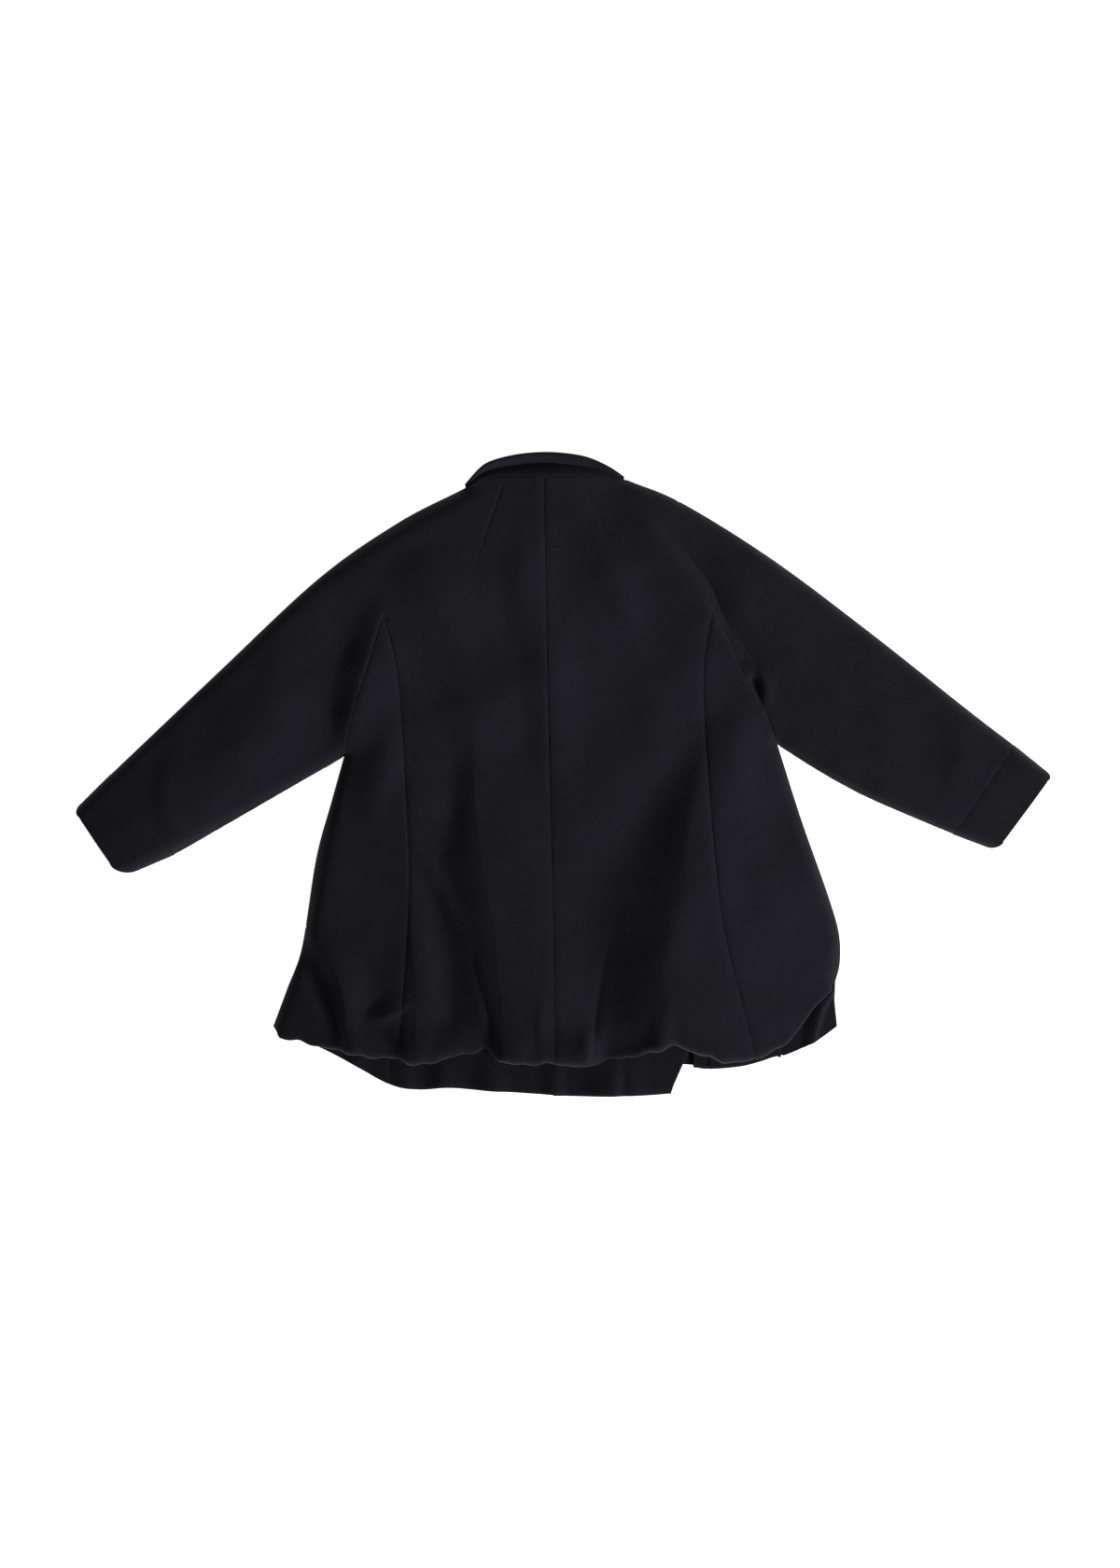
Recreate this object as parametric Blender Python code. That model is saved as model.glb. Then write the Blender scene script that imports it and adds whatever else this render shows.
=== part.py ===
"""Child's wool balloon coat, laid flat on its front so that the back faces up.

Every panel is a flat pattern piece that is cut into triangles, draped to its place and given the
thickness of the wool. Sizes are in millimetres until a mesh is made. +X runs across the coat, +Y from
the hem to the collar, and the coat lies on z = 0. Left and right are as the coat lies.
"""
import math

import bpy
import numpy as np
from mathutils.geometry import delaunay_2d_cdt

# Driving sizes of the cloth
WOOL = 2.2             # thickness of the wool coating
SEAM_GAP = 0.3         # between two panels at a seam
PLY = WOOL / 2         # height of the middle of a ply that lies on the floor
NAVY = (0.011, 0.010, 0.0145, 1.0)

# How closely the panels are cut into triangles
BACK_MESH = 21.0       # side of a triangle on the draped back
FRONT_MESH = 45.0      # side of a triangle on the fronts, which lie flat
LINE_STEP = 15.0       # between two points of a curved seam
STRAIGHT_STEP = 30.0   # between two points of a straight edge
HEM_STEP = 13.0        # between two points along the balloon hem
FINE_STEP = 6.0        # between two points of a curve that others are measured from
ROLL_STEPS = 6         # facets round the balloon hem's roll
TURN_STEPS = 4         # facets round the fold at the front hem
EDGE_SHARES = (0.05, 0.22, 0.55, 1.0)   # rows of points across the soft edge, as shares of its radius

# How the back lies over the front
EDGE_HEIGHT = WOOL + SEAM_GAP   # where the back meets the front along the outline
EDGE_ROUND = 14.0      # radius of the soft edge along the outline
EDGE_RISE = 10.0       # height gained at that soft edge
DOME_RISE = 9.0        # further height gained in the middle of the body
DOME_REACH = 60.0      # distance over which the middle rises
ARMPIT_CLEAR = 3.0     # the back's panels stop this short of the armpit's point

# The balloon hem of the back, and the turned-up hem of the fronts
BUBBLE_REACH = 50.0    # how far up the balloon hem shapes the back
HEM_FLOOR = 5.6        # height of a turned-under hem with no roll
HEM_LIFT = 1.15        # more height for each millimetre of roll
HEM_TURN = 22.0        # cloth turned under past the roll
HEM_END = 3.0          # the turned-under cloth ends this far from the side edges
HEM_TAPER = 16.0       # and narrows over this distance
TURN_ROLL = 1.5        # radius of the fold at the front hem
TURN_UP = 42.0         # cloth turned up inside the front hem

# Seam lines and edges of each half, as points x, y seen from above
LEFT = {
    "neck": ((-17, 272), (-50, 272), (-73, 270), (-93, 261)),
    "overarm": ((-93, 261), (-151, 231), (-225, 179), (-317, 93), (-417, -2), (-450, -34)),
    "underarm": ((-201, 16), (-256, -16), (-320, -53), (-359, -75), (-398, -93)),
    "cuff seam": ((-417, -2), (-359, -75)),
    "cuff edge": ((-449, -34), (-400, -92)),
    "armhole": ((-165, 145), (-178, 102), (-190, 65), (-201, 16)),
    "side seam": ((-165, 145), (-157, 116), (-150, 73), (-143, -45), (-142, -135), (-153, -290)),
    "side edge": ((-201, 16), (-213, -27), (-227, -79), (-240, -160), (-254, -200), (-267, -235)),
    "front neck": ((-93, 261), (-80, 228), (-52, 203), (-14, 192)),
    "front edge": ((-14, 192), (62, 188), (84, 100), (110, -150), (118, -254), (100, -292)),
    "front armhole": ((-168, 128), (-182, 84), (-201, 16)),
    "front seam": ((-168, 128), (-152, 40), (-150, -150), (-160, -330)),
    "front side edge": ((-201, 16), (-213, -27), (-227, -79), (-240, -160), (-254, -200), (-267, -235)),
    "front hem": ((-266, -235), (-224, -250), (-193, -266), (-160, -284), (-132, -289), (-108, -286),
                  (-80, -288), (-50, -290), (2, -293), (66, -294), (100, -292)),
    "turn-up": (-226, -8),      # x where the turned-up hem begins and ends
}
RIGHT = {
    "neck": ((-17, 272), (20, 272), (43, 272), (60, 270)),
    "overarm": ((60, 270), (112, 248), (195, 196), (287, 127), (374, 58), (417, 25), (450, -1)),
    "underarm": ((198, 27), (229, 7), (258, -10), (292, -27), (361, -56), (395, -69)),
    "cuff seam": ((417, 25), (361, -56)),
    "cuff edge": ((449, -2), (396, -68)),
    "armhole": ((138, 150), (155, 118), (171, 83), (184, 64), (198, 27)),
    "side seam": ((138, 150), (130, 93), (134, 0), (145, -126), (169, -229), (186, -290)),
    "side edge": ((198, 27), (221, -45), (245, -113), (255, -148), (256, -175), (252, -193)),
    "front neck": ((60, 270), (47, 230), (22, 203), (-14, 192)),
    "front edge": ((-14, 192), (-90, 188), (-100, 0), (-112, -268)),
    "front armhole": ((146, 130), (172, 78), (198, 27)),
    "front seam": ((146, 130), (134, 40), (134, -150), (134, -330)),
    "front side edge": ((198, 27), (221, -45), (245, -113), (255, -148), (256, -175), (252, -193),
                        (252, -212), (254, -233)),
    "front hem": ((-112, -267), (0, -269), (110, -269), (134, -271), (162, -267), (180, -263),
                  (206, -255), (234, -246), (254, -235)),
    "turn-up": (202, 121),
}
CENTRE_BACK = ((-17, 272), (-15, 145), (-12, 10), (-9, -120), (-6, -290))
FACING_TOP = -236.0    # end of the left front's facing, under the back
LAP_RAMP = 14.0        # length of the slope where the left front climbs onto the right one
LAP_CLEAR = 3.0        # from the top of that slope to the right front's edge

# The balloon hem of the back, with the columns x, y, radius of the roll, and degrees that it turns aside
BACK_HEM = (
    (-267, -235, 2.0, -30),
    (-256, -242, 3.0, -18),
    (-228, -247, 3.2, -8),
    (-208, -252, 3.8, 0),
    (-190, -259, 6.4, 0),
    (-162, -262, 5.0, 0),
    (-140, -267, 7.2, 0),
    (-101, -261, 6.4, 0),
    (-72, -254, 4.8, 0),
    (-58, -265, 7.4, 0),
    (-22, -267, 7.4, 0),
    (11, -268, 7.8, 0),
    (25, -270, 8.2, 0),
    (56, -261, 4.6, 0),
    (89, -255, 8.0, 0),
    (104, -249, 7.0, 0),
    (134, -260, 7.4, 0),
    (164, -263, 6.8, 0),
    (197, -253, 4.6, 20),
    (216, -241, 3.6, 40),
    (232, -219, 3.0, 52),
    (252, -193, 2.0, 52),
)

# The largest folds of the back, with the columns name, path, half width, depth at its head and its tail.
# A negative depth is a crest.
FOLDS = (
    ("left underarm", ((-178, 172), (-193, 124), (-206, 88), (-211, 52), (-208, 30)), 17, 1, 5),
    ("left armhole", ((-160, 170), (-176, 120), (-186, 86), (-195, 50), (-200, 24)), 16, -1, -5),
    ("left shoulder", ((-124, 220), (-119, 180), (-110, 115)), 40, -3, -3),
    ("right arm ridge", ((82, 226), (110, 190), (136, 146), (154, 108)), 18, -3, -3),
    ("right arm crease", ((96, 219), (118, 196), (136, 173), (155, 131), (178, 101)), 11, 2, 4),
    ("right pleat", ((60, -90), (45, -130), (37, -171), (31, -220), (28, -250)), 26, 1, 7),
    ("right pleat crest", ((116, 0), (98, -85), (87, -146), (86, -196), (89, -250)), 34, -3, -11),
    ("left pleat", ((-101, 0), (-103, -60), (-100, -146), (-94, -184), (-88, -245)), 18, 2, 6),
    ("left pleat crest", ((-82, 20), (-82, -60), (-70, -130), (-63, -184), (-59, -245)), 18, -4, -6),
    ("left side pleat", ((-144, -60), (-141, -130), (-138, -205), (-138, -245)), 16, -1, -7),
    ("left tip", ((-231, -150), (-210, -181), (-201, -215), (-199, -245)), 12, -2, -6),
    ("left tip hollow", ((-240, -164), (-226, -186), (-215, -212)), 11, 2, 4),
)

# Cuffs and collar
CUFF_STATIONS = 4
CUFF_TOP_POINTS = 13
CUFF_FLOOR = (0.95, 0.72, 0.5, 0.28, 0.05)   # points across the ply on the floor
COLLAR_TOP = ((-93, 262), (-75, 282), (-62, 289), (-41, 294), (-19, 296), (2, 295), (24, 291),
              (44, 282), (60, 271))
COLLAR_ENDS = (-84, 52)
COLLAR_POINTS = 17
COLLAR_HEIGHT = 24.0   # of the collar at the middle of the back neck
LEAF_ROLL = 3.2        # radius of the leaf's roll at the middle
END_ROLL = 2.4         # and at its two ends
LEAF_TURN = 5.5        # how far the leaf reaches back over the stand
LEAF_FALL = 0.5        # and how far its edge drops
STAND_SLOPE = 0.25     # fall of the stand away from the neck seam
NECK_GAP = 0.85        # between the neck seam and the middle of the stand's sloping edge


def smooth(points, step=LINE_STEP):
    """A smooth curve through the points, with a point about every step."""
    points = np.array(points, float)
    ahead = np.vstack([2 * points[0] - points[1], points, 2 * points[-1] - points[-2]])
    curve = []
    for i in range(1, len(ahead) - 2):
        p0, p1, p2, p3 = ahead[i - 1:i + 3]
        count = max(1, round(np.linalg.norm((p2 - p1)[:2]) / step))
        for t in np.arange(count) / count:
            curve.append(0.5 * (2 * p1 + (p2 - p0) * t + (2 * p0 - 5 * p1 + 4 * p2 - p3) * t ** 2
                                + (3 * p1 - p0 - 3 * p2 + p3) * t ** 3))
    curve.append(points[-1])
    return np.array(curve)


def straight(points, step=STRAIGHT_STEP):
    """Straight runs from point to point, with a point about every step."""
    points = np.array(points, float)
    runs = []
    for first, last in zip(points, points[1:]):
        count = max(1, round(np.linalg.norm(last - first) / step))
        runs += [first + (last - first) * t for t in np.arange(count) / count]
    return np.vstack([runs, points[-1:]])


def short_of_end(line, distance):
    """A line that stops a distance short of its last point."""
    away = np.linalg.norm(line - line[-1], axis=1)
    end = line[-1] + (line[-2] - line[-1]) * distance / away[-2]
    return np.vstack([line[away > distance * 1.5], end])


def nearest(points, line):
    """Distance of each point to a line, and how far along the line, from 0 to 1, it is nearest."""
    start, run = line[:-1], np.diff(line, axis=0)
    length = np.linalg.norm(run, axis=1)
    done = np.concatenate([[0.0], np.cumsum(length)])
    along = np.clip(((points[:, None] - start) * run).sum(2) / length ** 2, 0.0, 1.0)
    away = np.linalg.norm(points[:, None] - start - along[:, :, None] * run, axis=2)
    pick = away.argmin(axis=1)
    rows = np.arange(len(points))
    return away[rows, pick], (done[pick] + along[rows, pick] * length[pick]) / done[-1]


def nearest_of(points, lines):
    """Distance of each point to the nearest of several lines."""
    return np.min([nearest(points, line)[0] for line in lines], axis=0)


def within(points, ring):
    """Which points lie inside a closed outline."""
    x, y = points[:, 0, None], points[:, 1, None]
    (x0, y0), (x1, y1) = ring.T, np.roll(ring, -1, axis=0).T
    rise = np.where(y1 == y0, 1e-9, y1 - y0)
    crosses = ((y0 > y) != (y1 > y)) & (x < (x1 - x0) * (y - y0) / rise + x0)
    return crosses.sum(axis=1) % 2 == 1


def ease(t):
    """0 below 0, 1 above 1, and a soft step between."""
    t = np.clip(t, 0.0, 1.0)
    return t * t * (3.0 - 2.0 * t)


OUTLINE = [smooth(half[line]) for half in (LEFT, RIGHT) for line in ("overarm", "underarm", "side edge")]
HEM_CURVE = smooth(BACK_HEM, FINE_STEP)
FOLD_LINES = [(smooth(path), width, head, tail) for _, path, width, head, tail in FOLDS]


def hem_roll(x):
    """The balloon hem at x: the radius of its roll, the y where it begins, and how far it turns aside."""
    edge, roll, aside = (np.interp(x, HEM_CURVE[:, 0], HEM_CURVE[:, k]) for k in (1, 2, 3))
    return roll, edge + roll, np.radians(aside)


def back_height(points):
    """Height of the middle of the upper ply over each point, seen from above."""
    x, y = points.T
    inside = nearest_of(points, OUTLINE)
    roll, start, _ = hem_roll(x)
    at_hem = ease(1.0 - (y - start) / BUBBLE_REACH)
    body = EDGE_HEIGHT + EDGE_RISE + DOME_RISE * (1.0 - np.exp(-inside / DOME_REACH))
    hem = HEM_FLOOR + (HEM_LIFT + 2.0) * roll
    height = body * (1.0 - at_hem) + hem * at_hem
    for line, width, head, tail in FOLD_LINES:
        away, along = nearest(points, line)
        depth = (head + (tail - head) * along) * np.exp(-(away / width) ** 2)
        height = height - depth * (1.0 - at_hem)
    from_seam = np.clip((inside - SEAM_GAP / 2) / EDGE_ROUND, 0.0, 1.0)
    return EDGE_HEIGHT + (height - EDGE_HEIGHT) * np.sqrt(1.0 - (1.0 - from_seam) ** 2)


def drape_back(pattern):
    """Places pattern points of the upper ply, rolling the hem under."""
    x, y = pattern.T
    roll, start, aside = hem_roll(x)
    past = np.maximum(start - y, 0.0)
    angle = np.clip(past / roll, 0.0, math.pi)
    out = roll * np.sin(angle) - np.maximum(past - math.pi * roll, 0.0)
    level = np.maximum(y, start)
    height = back_height(np.column_stack([x, level])) - roll * (1.0 - np.cos(angle))
    return np.column_stack([x + out * np.sin(aside), level - out * np.cos(aside), height])


def front_hem_start(half, x):
    """The y where a front's hem begins to fold."""
    line = smooth(half["front hem"], FINE_STEP)
    return np.interp(x, line[:, 0], line[:, 1]) + TURN_ROLL


def front_drape(half):
    """A function that places pattern points of a front, turning its hem up.

    The left front climbs onto the right one where the two lap.
    """
    under_edge = np.array(RIGHT["front edge"][:0:-1], float)
    under_top = RIGHT["front edge"][0][1]

    def drape(pattern):
        x, y = pattern.T
        start = front_hem_start(half, x)
        past = np.maximum(start - y, 0.0)
        angle = np.clip(past / TURN_ROLL, 0.0, math.pi)
        out = TURN_ROLL * np.sin(angle) - np.maximum(past - math.pi * TURN_ROLL, 0.0)
        level = np.maximum(y, start) - out
        height = PLY + TURN_ROLL * (1.0 - np.cos(angle))
        if half is LEFT:
            climb = 1.0
            beside = x - np.interp(level, under_edge[:, 1], under_edge[:, 0])
            for inside in (beside, under_top - level):
                climb = climb * np.clip((inside + LAP_CLEAR) / LAP_RAMP + 1.0, 0.0, 1.0)
            height = height + EDGE_HEIGHT * climb
        return np.column_stack([x, level, height])

    return drape


def drape_floor(pattern):
    """Places pattern points of a ply that lies on the floor."""
    return np.column_stack([pattern, np.full(len(pattern), PLY)])


def wool(name):
    """Dark navy felted wool."""
    material = bpy.data.materials.new(name + "_wool")
    material.use_nodes = True
    shader = material.node_tree.nodes["Principled BSDF"]
    shader.inputs["Base Color"].default_value = NAVY
    shader.inputs["Roughness"].default_value = 0.95
    shader.inputs["Metallic"].default_value = 0.0
    return material


def thicken(name, points, normals, triangles, rests=0.0):
    """A closed wall of wool from points on its middle surface, no lower than what it rests on."""
    count = len(points)
    walls = np.vstack([points + normals * WOOL / 2, points - normals * WOOL / 2])
    walls[:, 2] = np.maximum(walls[:, 2], rests)
    sides = {(a, b) for tri in triangles for a, b in zip(tri, tri[1:] + tri[:1])}
    faces = list(triangles)
    faces += [tuple(i + count for i in reversed(tri)) for tri in triangles]
    faces += [(b, a, a + count, b + count) for a, b in sorted(sides) if (b, a) not in sides]
    mesh = bpy.data.meshes.new(name)
    mesh.from_pydata((walls * 0.001).tolist(), [], faces)
    mesh.shade_smooth()
    mesh.set_sharp_from_angle(angle=math.radians(50))
    mesh.materials.append(wool(name))
    bpy.context.scene.collection.objects.link(bpy.data.objects.new(name, mesh))


def joined(*lines):
    """One closed outline, anticlockwise, drawn in by half a seam gap."""
    points = np.vstack(lines)
    ring = points[np.linalg.norm(points - np.roll(points, 1, axis=0), axis=1) > 0.05]
    x, y = ring.T
    if (x * np.roll(y, -1) - y * np.roll(x, -1)).sum() < 0:
        ring = ring[::-1]
    ahead = np.roll(ring, -1, axis=0) - ring
    ahead /= np.linalg.norm(ahead, axis=1)[:, None]
    inward = np.column_stack([-ahead[:, 1], ahead[:, 0]])
    mean = inward + np.roll(inward, 1, axis=0)
    mean /= np.maximum((mean * inward).sum(1), 0.3)[:, None]
    return ring + mean * SEAM_GAP / 2


def panel(name, ring, drape, mesh, rows=None, rests=0.0):
    """A panel of wool: fills its outline with triangles, drapes them and gives them thickness.

    rows are points that a rolled or folded edge needs; an even grid fills the rest of the outline.
    """
    (left, low), (right, high) = ring.min(axis=0), ring.max(axis=0)
    closed = np.vstack([ring, ring[:1]])
    levels = np.arange(low, high, mesh * math.sqrt(3) / 2)
    inner = np.array([(x, y) for j, y in enumerate(levels)
                      for x in np.arange(left + mesh / 2 * (j % 2), right, mesh)])
    inner = inner[within(inner, ring) & (nearest(inner, closed)[0] > mesh * 0.45)]
    if rows is not None:
        rows = rows[within(rows, ring)]
        rows = rows[nearest(rows, closed)[0] > SEAM_GAP]
        away = np.array([np.linalg.norm(rows - point, axis=1).min() for point in inner])
        inner = np.vstack([rows, inner[away > mesh * 0.5]])
    edges = [(i, (i + 1) % len(ring)) for i in range(len(ring))]
    cut, _, triangles, *_ = delaunay_2d_cdt(np.vstack([ring, inner]).tolist(), edges, [], 1, 1e-4)
    pattern = np.array([tuple(point) for point in cut])
    step = 0.05
    across = drape(pattern + (step, 0.0)) - drape(pattern - (step, 0.0))
    up = drape(pattern + (0.0, step)) - drape(pattern - (0.0, step))
    normals = np.cross(across, up)
    normals /= np.linalg.norm(normals, axis=1)[:, None]
    thicken(name, drape(pattern), normals, [tuple(tri) for tri in triangles], rests)


def edge_rows(line, seams):
    """Points just inside the coat's outline, close enough together for its soft edge."""
    line = smooth(line)
    run = np.gradient(line, axis=0)
    run /= np.linalg.norm(run, axis=1)[:, None]
    side = np.column_stack([-run[:, 1], run[:, 0]]) * EDGE_ROUND
    rows = np.vstack([line + side * share * turn for share in EDGE_SHARES for turn in (1, -1)])
    clear = nearest_of(rows, seams) > 3.0
    return rows[clear & (nearest_of(rows, OUTLINE) > EDGE_ROUND * EDGE_SHARES[0] * 0.6)]


def hem_depths(x):
    """The y of each pattern point down the rolled hem at x; the last is where its cloth ends."""
    roll, start, _ = hem_roll(x)
    first, last = BACK_HEM[0][0] + HEM_END, BACK_HEM[-1][0] - HEM_END
    share = ease((x - first) / HEM_TAPER) * ease((last - x) / HEM_TAPER)
    total = (math.pi * roll + HEM_TURN) * share
    steps = [math.pi * roll * k / ROLL_STEPS for k in range(ROLL_STEPS + 1)]
    return [start - s for s in steps if s < total - 0.5] + [start - total]


def hem_places(first, last):
    """Places x along the balloon hem, evenly spaced along its curve."""
    run = np.append(0.0, np.cumsum(np.hypot(*np.diff(HEM_CURVE[:, :2], axis=0).T)))
    start, stop = np.interp((first, last), HEM_CURVE[:, 0], run)
    even = np.linspace(start, stop, max(3, round(abs(stop - start) / HEM_STEP)))
    return np.interp(even, run, HEM_CURVE[:, 0])


def hem_rows(first, last):
    """Points down the rolled hem between two x."""
    return np.array([(x, y) for x in hem_places(first, last)[1:-1] for y in hem_depths(x)[:-1]])


def hem_end(first, last):
    """Lower edge of the turned-under cloth between two x."""
    return np.array([(x, hem_depths(x)[-1]) for x in hem_places(first, last)])


def to_hem(seam):
    """A seam of the back cut off where the hem begins to roll, then taken down round the roll."""
    line = smooth(seam)
    start = hem_roll(line[:, 0])[1]
    x = float(np.interp(start[-1], line[::-1, 1], line[::-1, 0]))
    return np.vstack([line[line[:, 1] > start + 4.0], [(x, y) for y in hem_depths(x)]])


def sleeve_part(line, end):
    """The stretch of a sleeve edge up to the cuff seam."""
    curve = smooth(line)
    stop = nearest(np.array([end], float), curve)[1][0]
    return np.vstack([curve[nearest(curve, curve)[1] < stop - 0.01], [end]])


def sleeve_end(half):
    """The outline of a sleeve: underarm from the armpit, cuff seam, and overarm back to the neck."""
    over, under = half["cuff seam"]
    return (sleeve_part(half["underarm"], under), straight((under, over), LINE_STEP),
            sleeve_part(half["overarm"], over)[::-1])


def back_panels():
    """Two back halves, each in one piece with its sleeve, and two side panels."""
    centre = to_hem(CENTRE_BACK)
    for side, half in (("left", LEFT), ("right", RIGHT)):
        seam = to_hem(half["side seam"])
        armhole = short_of_end(smooth(half["armhole"]), ARMPIT_CLEAR)
        under, cuff, over = sleeve_end(half)
        under = short_of_end(under[::-1], ARMPIT_CLEAR)[::-1]
        neck = smooth(half["neck"])
        ring = joined(centre, hem_end(centre[-1, 0], seam[-1, 0]), seam[::-1], armhole, under, cuff, over,
                      neck[::-1])
        rows = np.vstack([hem_rows(centre[-1, 0], seam[-1, 0]),
                          edge_rows(half["overarm"], [neck, cuff]),
                          edge_rows(half["underarm"], [armhole, cuff])])
        panel("back_" + side, ring, drape_back, BACK_MESH, rows, EDGE_HEIGHT)
        edge = short_of_end(smooth(half["side edge"])[::-1], ARMPIT_CLEAR)
        ring = joined(seam, hem_end(seam[-1, 0], edge[0, 0]), edge[1:], armhole[::-1])
        rows = np.vstack([hem_rows(seam[-1, 0], edge[0, 0]), edge_rows(half["side edge"], [armhole, seam])])
        panel("side_back_" + side, ring, drape_back, BACK_MESH, rows, EDGE_HEIGHT)


def front_hem(half, first, last, drop=0.0):
    """A front's hem between two x, or a line that lies a drop below it on the pattern."""
    xs = np.linspace(first, last, max(3, round(abs(last - first) / STRAIGHT_STEP) + 1))
    return np.column_stack([xs, front_hem_start(half, xs) - drop])


def turn_depths():
    """How far below the hem the pattern points round its fold lie; the last is where its cloth ends."""
    steps = [math.pi * TURN_ROLL * k / TURN_STEPS for k in range(TURN_STEPS + 1)]
    return steps + [steps[-1] + TURN_UP]


def turn_end(half, x):
    """Points round the fold of a turned-up hem at x, from the hem to the end of its cloth."""
    return np.array([(x, front_hem_start(half, x) - depth) for depth in turn_depths()])


def turn_rows(half, first, last):
    """Points round the fold of a turned-up hem between two x."""
    return np.vstack([front_hem(half, first, last, depth)[1:-1] for depth in turn_depths()[:-1]])


def lap_rows():
    """Points along the foot and the top of the slope where the left front climbs onto the right one."""
    edge = straight(RIGHT["front edge"][1:])
    top = straight(RIGHT["front edge"][:2])[:, 0]
    level = RIGHT["front edge"][0][1]
    rows = []
    for reach in (LAP_CLEAR, LAP_CLEAR + LAP_RAMP):
        rows += [edge - (reach, 0.0), np.column_stack([top, np.full(len(top), level + reach)])]
    return np.vstack(rows)


def front_panels():
    """Two fronts, each in one piece with its sleeve, and two side panels, all flat on the floor."""
    for side, half in (("left", LEFT), ("right", RIGHT)):
        drape = front_drape(half)
        outer_x, inner_x = half["turn-up"]
        seam_x = half["front seam"][-1][0]
        seam = smooth(half["front seam"], STRAIGHT_STEP)
        seam = seam[seam[:, 1] > front_hem_start(half, seam_x) + 10.0]
        armhole = smooth(half["front armhole"])
        plain = front_hem(half, half["front edge"][-1][0], inner_x)
        edge = straight(half["front edge"])
        edge = edge[edge[:, 1] > plain[0, 1] + 6.0]
        turned = front_hem(half, inner_x, seam_x, turn_depths()[-1])
        ring = joined(edge, plain, turn_end(half, inner_x), turned, turn_end(half, seam_x)[::-1],
                      seam[::-1], armhole, *sleeve_end(half), smooth(half["front neck"]))
        rows = turn_rows(half, inner_x, seam_x)
        if half is LEFT:
            rows = np.vstack([rows, lap_rows()])
        panel("front_" + side, ring, drape, FRONT_MESH, rows)
        outer = smooth(half["front side edge"])[:-1]
        plain = front_hem(half, outer_x, half["front side edge"][-1][0])
        turned = front_hem(half, seam_x, outer_x, turn_depths()[-1])
        ring = joined(seam, turn_end(half, seam_x), turned, turn_end(half, outer_x)[::-1], plain,
                      outer[::-1], armhole[::-1])
        panel("side_front_" + side, ring, drape, FRONT_MESH, turn_rows(half, seam_x, outer_x))


def facing():
    """Facing of the left front, laid on its inside at the hem."""
    front = front_drape(LEFT)
    seam_x = LEFT["turn-up"][1]
    hem = front_hem(LEFT, seam_x, LEFT["front edge"][-1][0])
    edge = straight(LEFT["front edge"])
    edge = edge[(edge[:, 1] < FACING_TOP) & (edge[:, 1] > hem[-1, 1] + 6.0)]
    top = np.array([(edge[0, 0], FACING_TOP), (seam_x, FACING_TOP)])
    panel("facing_left", joined(hem, edge[::-1], top),
          lambda pattern: front(pattern) + (0.0, 0.0, 2 * TURN_ROLL), FRONT_MESH)


def cuffs():
    """Each cuff is one ring, flattened on the floor and arched over its hollow."""
    for side, half in (("left", LEFT), ("right", RIGHT)):
        seam, edge = np.array(half["cuff seam"], float), np.array(half["cuff edge"], float)
        across = 0.5 - 0.5 * np.cos(np.linspace(0.0, math.pi, CUFF_TOP_POINTS))
        rings = []
        for share in np.linspace(0.01, 1.0, CUFF_STATIONS):
            first, last = seam + (edge - seam) * share
            top = first + (last - first) * across[:, None]
            low = first + (last - first) * np.array(CUFF_FLOOR)[:, None]
            rings.append(np.vstack([np.column_stack([top, back_height(top)]), drape_floor(low)]))
        tube("cuff_" + side, np.array(rings), 1 if half is LEFT else -1)


def tube(name, rings, turn):
    """A tube of wool from rings on its middle surface; turn is 1 or -1, so that it faces out."""
    around = np.roll(rings, -1, axis=1) - np.roll(rings, 1, axis=1)
    normals = np.cross(around, np.gradient(rings, axis=0)) * turn
    normals /= np.linalg.norm(normals, axis=2)[:, :, None]
    lines, count = rings.shape[:2]
    triangles = []
    for i in range(lines - 1):
        for j in range(count):
            a, b = i * count + j, i * count + (j + 1) % count
            pair = [(a, b, b + count), (a, b + count, a + count)]
            triangles += pair if turn > 0 else [tri[::-1] for tri in pair]
    thicken(name, rings.reshape(-1, 3), normals.reshape(-1, 3), triangles)


def back_collar():
    """Collar along the back neck: it stands up from the neck seam, then rolls over as a narrow leaf."""
    xs = np.linspace(*COLLAR_ENDS, COLLAR_POINTS)
    neck = np.vstack([smooth(LEFT["neck"])[::-1], smooth(RIGHT["neck"])[1:]])
    top = smooth(COLLAR_TOP)
    low = np.interp(xs, neck[:, 0], neck[:, 1])
    high = np.interp(xs, top[:, 0], top[:, 1])
    start = back_height(np.column_stack([xs, low]))
    middle = np.clip((high - low) / COLLAR_HEIGHT, 0.0, 1.0)
    roll = END_ROLL + (LEAF_ROLL - END_ROLL) * middle
    crest = high - roll - PLY
    fall = start - STAND_SLOPE * (crest - low)
    rows = []
    for share in (0.0, 0.3, 0.6, 0.9):
        y = low + NECK_GAP + (crest - low - NECK_GAP) * share
        rows.append(np.column_stack([xs, y, start + (fall - start) * share]))
    for angle in np.radians(np.arange(-90, 91, 30)):
        rows.append(np.column_stack([xs, crest + roll * np.cos(angle), fall + roll * (1 + np.sin(angle))]))
    for share in (0.5, 1.0):
        y = crest - LEAF_TURN * middle ** 2 * share
        rows.append(np.column_stack([xs, y, fall + 2 * roll - LEAF_FALL * share]))
    rows = np.array(rows[::-1])
    normals = np.cross(np.gradient(rows, axis=1), np.gradient(rows, axis=0))
    normals /= np.linalg.norm(normals, axis=2)[:, :, None]
    triangles = []
    for i in range(len(rows) - 1):
        for j in range(COLLAR_POINTS - 1):
            a, b = i * COLLAR_POINTS + j, (i + 1) * COLLAR_POINTS + j
            triangles += [(a, a + 1, b + 1), (a, b + 1, b)]
    thicken("collar", rows.reshape(-1, 3), normals.reshape(-1, 3), triangles)


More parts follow.
